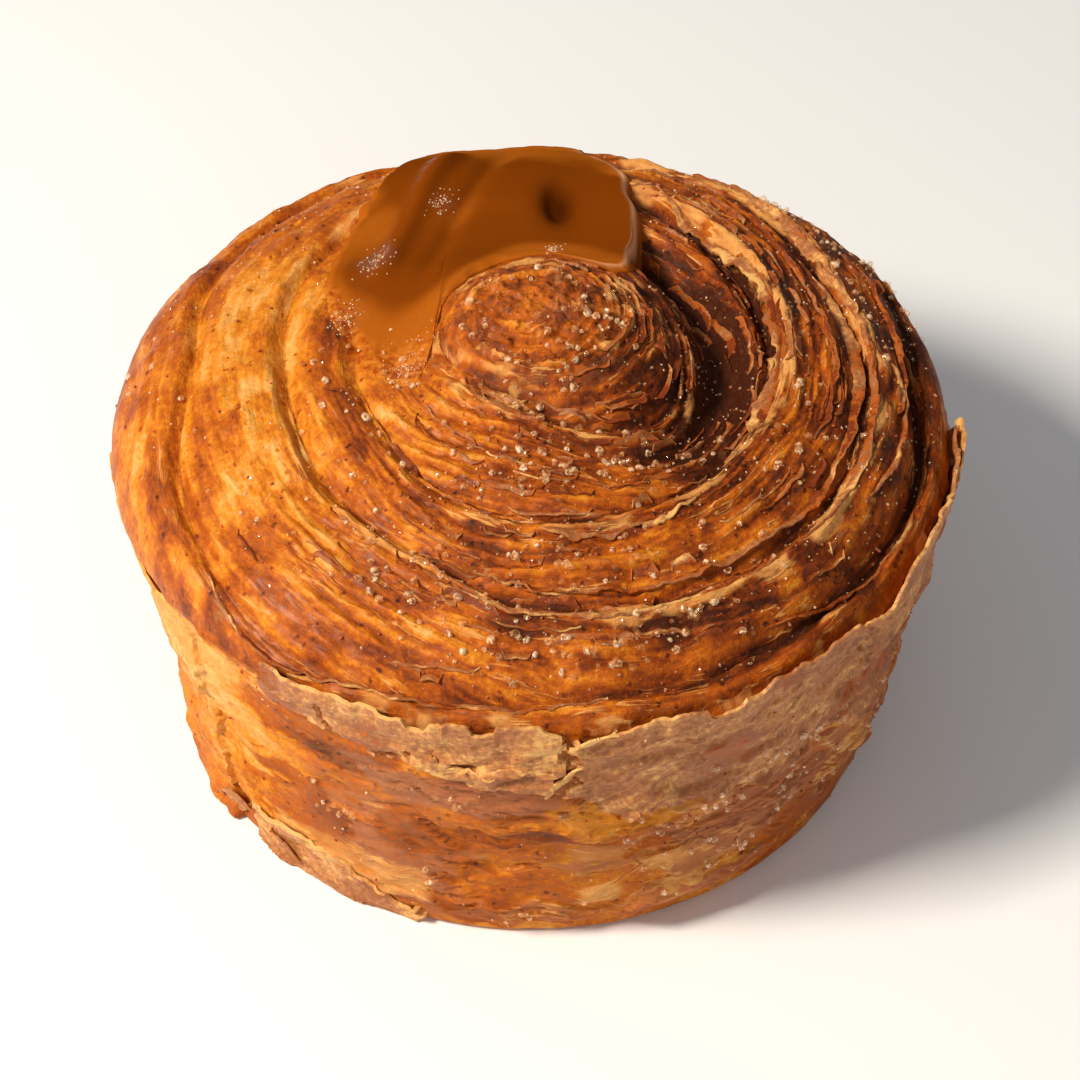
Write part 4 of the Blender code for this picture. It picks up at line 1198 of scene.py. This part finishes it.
class CRUFFIN_OT_wall_leaves(bpy.types.Operator):
    """Lay the thin leaves of dough against the wall"""
    bl_idname = "cruffin.wall_leaves"
    bl_label = "Wall leaves"

    def execute(self, context):
        dough, leaves = context.scene.cruffin_dough, context.scene.cruffin_leaves
        tan, crust = leaf_finish(dough, leaves), bpy.data.materials[CRUST_FINISH]
        for number, leaf in enumerate(WALL_LEAVES):
            sheet = self.lay(leaf, number, dough)
            thicken(sheet, leaves.thickness)
            finish_piece(sheet, crust if leaf.get("crust") else tan)
        for number, scrap in enumerate(SCRAPS):
            sheet = self.scrap(scrap, number, dough)
            thicken(sheet, 0.6 * leaves.thickness)
            finish_piece(sheet, tan)
        return {"FINISHED"}

    def grain(self, x, y, shown):
        """The direction of a leaf's streaks, along the wall's own layers."""
        return np.column_stack((x / 4.0, y / 4.0, shown["slant"] / 1.1))

    def scrap(self, scrap, number, dough):
        """A small torn scrap, pointed at its ends and curling away from the wall at its rim."""
        sheet, a, b = new_sheet(scrap["name"], *SCRAP_STEPS)
        width, tall = scrap["size"]
        angle_at, height_at = scrap["at"]
        u, v = 2.0 * a - 1.0, 2.0 * b - 1.0
        ends = np.clip(1.02 - u ** 2, 0.0, 1.0)
        torn = 0.35 * rough_noise(2.5 * u, v, 9.0 * number, 4)
        angle = angle_at + np.degrees(0.5 * width * u * (1.0 + 0.5 * torn) / RIM_REACH)
        height = height_at + 0.5 * scrap["rise"] * u + 0.5 * tall * v * ends * (1.0 + torn)
        height = np.maximum(height, 0.5)
        beside = against_wall(angle, height)
        _, shown = wall_surface(angle, beside, dough)
        radius = wall_radius(angle, beside) + scrap["out"] + 0.35 * (v - 0.3 * u) * (1.0 + torn)
        x, y = at_angle(radius, angle)
        shape(sheet, x, y, height)
        keep_numbers(sheet, brown=scrap["brown"], grain=self.grain(x, y, shown))
        return sheet

    def lay(self, leaf, number, dough):
        """One leaf as a sheet over the wall; what was torn away dips out of sight into the dough."""
        span, tall = leaf["to"] - leaf["from"], leaf["top"] - leaf["foot"]
        width = math.radians(span) * WALL_REACH
        steps = max(24, int(width * LEAF_STEPS)), max(10, int(tall * LEAF_STEPS))
        sheet, a, b = new_sheet(leaf["name"], *steps)
        seed = 31.0 * number
        angle = leaf["from"] + a * span
        along, up = a * width, b * tall
        to_end = (1.0 - a) * width
        torn = rough_noise(along / 6.0, up / 3.0, seed, 2 if leaf.get("crust") else 5)
        upper = leaf["top"] + 0.75 * rough_noise(along / 5.0, seed, 2.0, 5)
        upper = upper - 1.2 * smoothstep(0.2, 0.5, noise(along / 3.1, seed, 5.0))
        upper = upper - leaf.get("dip", 0.0) * smoothstep(11.0, 1.5, along)
        upper = upper - leaf.get("fall", 0.0) * smoothstep(16.0, 1.0, to_end)
        lower = leaf["foot"] - leaf["ragged"] + leaf.get("lift", 0.0) * smoothstep(18.0, 1.0, along)
        height = around(RIM_LEVEL, angle) + lower + (upper - lower) * b
        height = np.maximum(height + leaf.get("slope", 0.0) * (a - 0.5), 0.4)

        left_in = np.minimum(1.8 * np.minimum(along, to_end), b * (tall + leaf["ragged"]))
        left_in = left_in - leaf["ragged"] * (1.0 + 0.9 * torn)
        for crack in leaf.get("cracks", ()):
            left_in = np.minimum(left_in, self.from_crack(crack, angle, height) - 0.25 - 0.2 * torn)
        whole = smoothstep(0.0, TEAR_WIDTH, left_in)
        if leaf.get("crust"):
            whole = whole * smoothstep(0.0, CRUST_FREE, along)
        height = height - (1.0 - whole) * np.maximum(height - rim_top(angle) + 1.5, 0.0)
        out_foot, out_top = leaf["out"]
        out = 0.2 + out_foot * (1.0 - b) ** 3 + out_top * b ** 2.5
        curl = 0.35 * hump(left_in - 0.5, 0.7) * smoothstep(-0.1, 0.6, noise(along / 5.0, up / 3.0, seed))
        out = (out + curl + LEAF_SUNK) * whole - LEAF_SUNK
        out = out + 0.20 * rough_noise(along / 5.0, up / 2.2, seed, 3)
        beside = against_wall(angle, height)
        wall, shown = wall_surface(angle, beside, dough)
        over = np.maximum(wall, wall_radius(angle, beside) + 0.15)
        radius = np.where(out > 0, over, wall) + out
        x, y = at_angle(radius, angle)
        shape(sheet, x, y, height)
        if leaf.get("crust"):
            keep_numbers(sheet, **wall_colours(angle, height, radius, shown))
        else:
            patches = 0.3 * smoothstep(0.0, 0.6, noise(x / 9.0, y / 9.0 + seed, height / 5.0))
            keep_numbers(sheet, brown=leaf["brown"] + patches - 0.25 * smoothstep(0.94, 1.0, b),
                         grain=self.grain(x, y, shown))
        return sheet

    def from_crack(self, crack, angle, height):
        """Distance from a crack's line, given as (angle, height) points."""
        nearest = np.full_like(height, FAR)
        for (angle_a, height_a), (angle_b, height_b) in zip(crack, crack[1:]):
            step_x, step_y = math.radians(angle_b - angle_a) * WALL_REACH, height_b - height_a
            x, y = np.radians(angle - angle_a) * WALL_REACH, height - height_a
            share = np.clip((x * step_x + y * step_y) / (step_x ** 2 + step_y ** 2), 0.0, 1.0)
            nearest = np.minimum(nearest, np.hypot(x - share * step_x, y - share * step_y))
        return nearest


class CRUFFIN_OT_coil_leaves(bpy.types.Operator):
    """Stand the torn leaf edges up along the coil"""
    bl_idname = "cruffin.coil_leaves"
    bl_label = "Coil leaves"

    def execute(self, context):
        dough, leaves = context.scene.cruffin_dough, context.scene.cruffin_leaves
        finish = leaf_finish(dough, leaves)
        # Name, leaf edges, the first one's number, steps to a millimetre, and share of the thickness
        batches = (("coil_leaves", COIL_LEAVES, 0, 3.0, 1.0),
                   ("torn_flakes", self.flakes(leaves), 50, 2.0, 0.8))
        for name, edges, first, fineness, thick in batches:
            ribbons = [self.stand(leaf, first + number, dough, fineness) for number, leaf in enumerate(edges)]
            piece = join(ribbons, name)
            thicken(piece, thick * leaves.edge_thickness)
            finish_piece(piece, finish)
        return {"FINISHED"}

    def flakes(self, leaves):
        """Short leaf edges by a seeded rule, densest at the front and right, following the coil."""
        draw = np.random.default_rng(FLAKE_SEED)
        made = []
        while len(made) < leaves.flakes:
            start = draw.uniform(-180.0, 180.0)
            radius = draw.uniform(9.0, 42.0)
            layered = float(around(LAYERED, start))
            if layered < FLAKE_LAYERED or draw.random() > layered ** 3:
                continue
            if inside_caramel(*at_angle(radius, start)) > -1.0:
                continue
            length = draw.uniform(2.0, 9.0)
            sweep = math.degrees(length / radius)
            here, ahead = (np.array([float(edge) for _, edge, _ in coil_turns(angle)])
                           for angle in (start, start + sweep))
            drift = np.interp(radius, here, ahead - here)
            line = ((start, radius), (start + sweep / 2, radius + drift / 2 + draw.uniform(-0.2, 0.2)),
                    (start + sweep, radius + drift))
            made.append({"name": "flake", "line": line, "height": draw.uniform(0.05, 0.3),
                         "lean": draw.uniform(0.3, 1.0) * draw.choice((-1, 1), p=(0.3, 0.7)),
                         "ragged": 0.15, "brown": draw.uniform(0.5, 0.95)})
        return made

    def stand(self, leaf, number, dough, fineness):
        """One leaf edge as a ribbon along the coil, its foot sunk in the dough and its free edge torn."""
        line = sorted(leaf["line"])
        start, end = line[0][0], line[-1][0]
        length = math.radians(end - start) * line[0][1]
        ribbon, a, b = new_sheet(leaf["name"], max(8, int(length * fineness)), 5)
        angle = start + (end - start) * a
        root = through(line, angle)
        taper = smoothstep(0.0, 0.10, np.minimum(a, 1.0 - a)) * 0.85 + 0.15
        torn = leaf["ragged"] * rough_noise(a * length / 1.6, 7.0 * number, 0.0, 3)
        broad = 1.0 + 0.35 * noise(a * length / 6.0, 7.0 * number, 3.0)
        side = np.sign(leaf["lean"])
        reach = (leaf["lean"] * broad + torn * side) * taper
        x, y = at_angle(root + reach * b, angle)
        surface, _ = crown_surface(x, y, dough)
        root_height, _ = crown_surface(*at_angle(root, angle), dough)
        lift = leaf["height"] * (1.0 + 0.4 * noise(a * length / 3.0, 7.0 * number, 6.0)) * taper
        height = np.maximum(root_height + (lift - 0.5 * reach * side) * b, surface + 0.15 * b)
        shape(ribbon, x, y, height - 0.45 * (1.0 - b) ** 2)
        patches = 0.55 * rough_noise(a * length / 4.0, 1.5 * b, 7.0 * number, 3) + 0.3 * (1.0 - b)
        keep_numbers(ribbon, brown=leaf["brown"] + patches,
                     grain=np.column_stack((a * length / 1.5, b * 1.6, np.full(len(a), 3.0 * number))))
        return ribbon


class CRUFFIN_OT_caramel(bpy.types.Operator):
    """Pour the caramel over the back"""
    bl_idname = "cruffin.caramel"
    bl_label = "Caramel"

    def execute(self, context):
        dough, caramel = context.scene.cruffin_dough, context.scene.cruffin_caramel
        pour, turn, ring = new_ball("caramel_pour", caramel.segments, caramel.rings)
        over = ring <= 0.5 + 1e-6
        share = np.where(over, ring, 1.0 - ring) * 2.0
        spoke, outline = caramel_outline(720)
        reach = np.interp(turn, spoke, outline, period=math.tau)
        reach = reach + 0.35 * noise(np.cos(turn) * 7.0, np.sin(turn) * 7.0, 2.0)
        x = CARAMEL_MIDDLE[0] + reach * share * np.cos(turn)
        y = CARAMEL_MIDDLE[1] + reach * share * np.sin(turn)
        inset = np.clip(reach * (1.0 - share) / CARAMEL_EDGE, 0.0, 1.0)
        surface, _ = crown_surface(x, y, dough)
        film = film_share(x, y, share)
        thickness = caramel_thickness(x, y, inset, film, surface)
        shape(pour, x, y, surface + np.where(over, thickness, -CARAMEL_SINK * (0.4 + 0.6 * inset)))
        # Painted shade in the dimple, which also counts as deep caramel in the colour
        pit = hump(off_dimple(x, y), 2.2)
        wet = 0.4 * hump(off_fold(x, y, CARAMEL_FOLDS[0]) + 1.6, 1.6)
        for glint_x, glint_y, spread in CARAMEL_GLINTS:
            wet = wet + hump(np.hypot(x - glint_x, y - glint_y), spread)
        # Painted highlight: a thin band just inside the pour's right edge is painted pale
        rim = hump(share - 0.958, 0.012) * over * smoothstep(4.0, 8.0, x) * smoothstep(8.0, 14.0, y)
        keep_numbers(pour, depth=smoothstep(0.3, 2.4, thickness) + 1.2 * pit, pit=pit, film=film,
                     wet=np.clip(wet, 0.0, 1.0), rim=rim)
        finish_piece(pour, caramel_finish(caramel))
        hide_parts("caramel")
        return {"FINISHED"}


class CRUFFIN_OT_sugar(bpy.types.Operator):
    """Scatter the coarse sugar, the fine sugar and the spice"""
    bl_idname = "cruffin.sugar"
    bl_label = "Sugar and spice"

    def execute(self, context):
        dough, sugar = context.scene.cruffin_dough, context.scene.cruffin_sugar
        clear = sugar_finish(sugar)
        draw = np.random.default_rng(SUGAR_SEED)
        coarse = self.gathered(draw, dough)
        grains = self.scatter("coarse_sugar", coarse, sugar.coarse_size / MM, draw, rings=6)
        finish_piece(grains, clear, FACET_ANGLE)
        # Whitened fine grains on the caramel, as painted glints
        painted_glint_spots = self.on_caramel(draw, dough)
        fine = np.vstack((self.sprinkled(draw, dough, sugar.fine_grains, FINE_ON_CROWN), painted_glint_spots))
        grains = self.scatter("fine_sugar", fine, sugar.fine_size / MM, draw, rings=4, painted_glint_count=len(painted_glint_spots))
        finish_piece(grains, clear, FACET_ANGLE)
        specks = self.sprinkled(draw, dough, sugar.spice_specks, SPICE_ON_CROWN)
        grains = self.scatter("spice", specks, sugar.spice_size / MM, draw, rings=4)
        finish_piece(grains, spice_finish(sugar))
        return {"FINISHED"}

    def gathered(self, draw, dough):
        """Places of the coarse grains, in the patches where they gathered."""
        spots = []
        for angle, radius, spread, count in CROWN_SUGAR:
            angles = angle + np.degrees(draw.normal(0.0, 1.7 * spread, count) / radius)
            radii = radius + draw.normal(0.0, 0.6 * spread, count)
            spots.append(self.on_crown(angles, np.clip(radii, 1.0, 44.0), dough))
        for angle, height, spread, count in WALL_SUGAR:
            angles = angle + np.degrees(draw.normal(0.0, spread, count) / WALL_REACH)
            heights = height + draw.normal(0.0, 0.6 * spread, count)
            spots.append(self.on_wall(angles, np.clip(heights, 1.5, 36.0), dough))
        return np.vstack(spots)

    def sprinkled(self, draw, dough, count, top_share):
        """Places strewn over crown and wall, fewer on the left."""
        angles = draw.uniform(-180.0, 180.0, count * 3)
        keep = draw.random(len(angles)) < 0.35 + 0.65 * smoothstep(-1.0, 0.2, np.cos(np.radians(angles)))
        angles = angles[keep][:count]
        split = int(len(angles) * top_share)
        radii = np.sqrt(draw.uniform(2.0, 43.5 ** 2, split))
        crown = self.on_crown(angles[:split], radii, dough)
        wall = self.on_wall(angles[split:], draw.uniform(1.0, 37.0, len(angles) - split), dough)
        return np.vstack((crown, wall))

    def facing(self, x, y, height, outward):
        """Places of grains, each with the direction that the surface faces there."""
        return np.column_stack((x, y, height, np.broadcast_to(outward, (len(x), 3))))

    def on_crown(self, angles, radii, dough):
        """Places on the crown, without those that the caramel covers, but with its film's."""
        x, y = at_angle(radii, angles)
        inside = inside_caramel(x, y)
        film = (x < -9.0) & (y < 4.0)
        shown = (inside < -0.6) | film
        x, y, inside = x[shown], y[shown], inside[shown]
        height, _ = crown_surface(x, y, dough)
        return self.facing(x, y, height + 0.3 * smoothstep(-0.5, 1.0, inside), (0.0, 0.0, 1.0))

    def on_caramel(self, draw, dough):
        """Places of the whitened fine grains that are set in the caramel's wet skin as painted glints."""
        spots = []
        for x_at, y_at, spread in CARAMEL_GLINTS:
            x, y = np.clip(draw.standard_t(2.6, (int(30 * spread), 2)), -3.0, 3.0).T * 0.34 * spread
            x, y = x_at + 0.8 * x + 0.3 * y, y_at + 1.3 * y
            inset = np.clip(inside_caramel(x, y) / CARAMEL_EDGE, 0.0, 1.0)
            surface, _ = crown_surface(x, y, dough)
            film = film_share(x, y, 0.0)
            height = surface + caramel_thickness(x, y, inset, film, surface) * (inset > 0.0)
            spots.append(self.facing(x, y, height - 0.04, (0.0, 0.0, 1.0)))
        return np.vstack(spots)

    def on_wall(self, angles, heights, dough):
        """Places on the wall, over the leaves that lie on it."""
        radius, _ = wall_surface(angles, heights, dough)
        x, y = at_angle(radius + self.leaf_cover(angles, heights), angles)
        return self.facing(x, y, heights, np.column_stack((*at_angle(1.0, angles), 0.0 * heights)))

    def leaf_cover(self, angles, heights):
        """How far the wall's leaves lift a grain there."""
        cover = np.zeros_like(heights)
        for leaf in WALL_LEAVES:
            low, high = leaf["from"], leaf["to"]
            under = (angles - low) % 360.0 < high - low
            share = (heights - around(RIM_LEVEL, angles) - leaf["foot"]) / (leaf["top"] - leaf["foot"])
            inside = under & (share > 0.0) & (share < 1.0)
            lift = 0.4 + leaf["out"][1] * np.clip(share, 0.0, 1.0) ** 2.5
            cover = np.where(inside, np.maximum(cover, lift), cover)
        return cover

    def scatter(self, name, spots, size, draw, rings, painted_glint_count=0):
        """Turned, uneven copies of one faceted grain, one at each spot, in one mesh; the last are whiter, as
        painted glints.
        """
        deselect_all()
        bpy.ops.mesh.primitive_uv_sphere_add(segments=rings + 2, ring_count=rings, radius=0.55)
        grain = bpy.context.object
        corners = vertices_of(grain)
        faces = [list(face.vertices) for face in grain.data.polygons]
        bpy.data.objects.remove(grain, do_unlink=True)
        count = len(spots)
        scale = size * draw.uniform(0.55, 1.2, (count, 1)) * draw.uniform(0.75, 1.1, (count, 3))
        # Painted glints: the last grains are smaller
        scale[count - painted_glint_count:] *= PAINTED_GLINT_SIZE
        spin = draw.normal(0.0, 1.0, (count, 4))
        w, i, j, k = (spin / np.linalg.norm(spin, axis=1, keepdims=True)).T
        turns = np.stack((
            np.stack((1 - 2 * (j * j + k * k), 2 * (i * j - k * w), 2 * (i * k + j * w)), -1),
            np.stack((2 * (i * j + k * w), 1 - 2 * (i * i + k * k), 2 * (j * k - i * w)), -1),
            np.stack((2 * (i * k - j * w), 2 * (j * k + i * w), 1 - 2 * (i * i + j * j)), -1)), 1)
        chipped = 1 + 0.18 * draw.uniform(-1, 1, (count, len(corners), 1))
        shapes = np.einsum("nij,nvj->nvi", turns, corners[None] * scale[:, None, :] * chipped)
        shapes = shapes + (spots[:, :3] + GRAIN_SIT * size * spots[:, 3:])[:, None, :]
        mesh = bpy.data.meshes.new(name)
        every = [[v + n * len(corners) for v in face] for n in range(count) for face in faces]
        mesh.from_pydata(place(shapes.reshape(-1, 3)).tolist(), [], every)
        made = bpy.data.objects.new(name, mesh)
        bpy.context.scene.collection.objects.link(made)
        solid = draw.random((count, 1)) ** 0.7 * draw.random((count, len(corners)))
        # Painted glints: the last grains are whiter and more opaque
        solid[count - painted_glint_count:] = PAINTED_GLINT_WHITE + 0.45 * solid[count - painted_glint_count:]
        keep_numbers(made, solid=solid.ravel())
        return made


class CRUFFIN_OT_stage(bpy.types.Operator):
    """Set up the floor, the lights and the camera"""
    bl_idname = "cruffin.stage"
    bl_label = "Stage"

    def execute(self, context):
        stage = context.scene.cruffin_stage
        scene = context.scene
        deselect_all()
        bpy.ops.mesh.primitive_plane_add(size=stage.floor_size)
        floor = bpy.context.object
        floor.name = floor.data.name = "floor"
        floor.data.materials.append(floor_finish(stage))

        scene.view_settings.view_transform = "Standard"
        world = bpy.data.worlds.new("sky")
        world.use_nodes = True
        sky = world.node_tree.nodes["Background"].inputs
        sky["Color"].default_value = (1.0, 1.0, 1.0, 1.0)
        sky["Strength"].default_value = stage.sky
        scene.world = world
        self.light("key", stage.key_power)
        self.light("fill", stage.fill_power)

        back = math.radians(CAMERA_ELEVATION)
        stand = Vector(CAMERA_STAND) + CAMERA_DISTANCE * Vector((0.0, -math.cos(back), math.sin(back)))
        stand, aim = Vector(place(stand)), Vector(place(CAMERA_AIM))
        bpy.ops.object.camera_add(location=stand, rotation=(aim - stand).to_track_quat("-Z", "Y").to_euler())
        camera = bpy.context.object
        camera.name = "camera"
        camera.data.lens = stage.lens
        camera.data.sensor_width = 36.0
        camera.data.clip_start = 0.01
        scene.camera = camera
        return {"FINISHED"}

    def light(self, name, power):
        """A soft square light that looks at the pastry."""
        spot, size, colour = LIGHTS[name]
        aim = Vector(LIGHTS_AIM) - Vector(spot)
        bpy.ops.object.light_add(type="AREA", location=spot, rotation=aim.to_track_quat("-Z", "Y").to_euler())
        lamp = bpy.context.object
        lamp.name = name
        lamp.data.size = size
        lamp.data.energy = power
        lamp.data.color = tint(*colour)


class CRUFFIN_PT_sidebar(bpy.types.Panel):
    """Lists the cruffin's settings and the pieces it is made of"""
    bl_idname = "CRUFFIN_PT_sidebar"
    bl_label = "Cruffin"
    bl_space_type = "VIEW_3D"
    bl_region_type = "UI"
    bl_category = "Cruffin"

    def draw(self, context):
        for pointer, settings in SETTINGS.items():
            box = self.layout.box()
            for name in settings.__annotations__:
                box.prop(getattr(context.scene, pointer), name)
        for operator in OPERATORS:
            self.layout.operator(operator.bl_idname)


SETTINGS = {
    "cruffin_dough": DoughSettings,
    "cruffin_leaves": LeafSettings,
    "cruffin_caramel": CaramelSettings,
    "cruffin_sugar": SugarSettings,
    "cruffin_stage": StageSettings,
}
OPERATORS = (CRUFFIN_OT_stage, CRUFFIN_OT_dough, CRUFFIN_OT_wall_leaves, CRUFFIN_OT_coil_leaves,
             CRUFFIN_OT_caramel, CRUFFIN_OT_sugar)
CLASSES = (*SETTINGS.values(), *OPERATORS, CRUFFIN_PT_sidebar)


def register():
    for cls in CLASSES:
        bpy.utils.register_class(cls)
    for pointer, settings in SETTINGS.items():
        setattr(bpy.types.Scene, pointer, bpy.props.PointerProperty(type=settings))


def unregister():
    for pointer in SETTINGS:
        delattr(bpy.types.Scene, pointer)
    for cls in reversed(CLASSES):
        bpy.utils.unregister_class(cls)


def main():
    register()
    for operator in OPERATORS:
        group, name = operator.bl_idname.split(".")
        getattr(getattr(bpy.ops, group), name)()


if __name__ == "__main__":
    main()
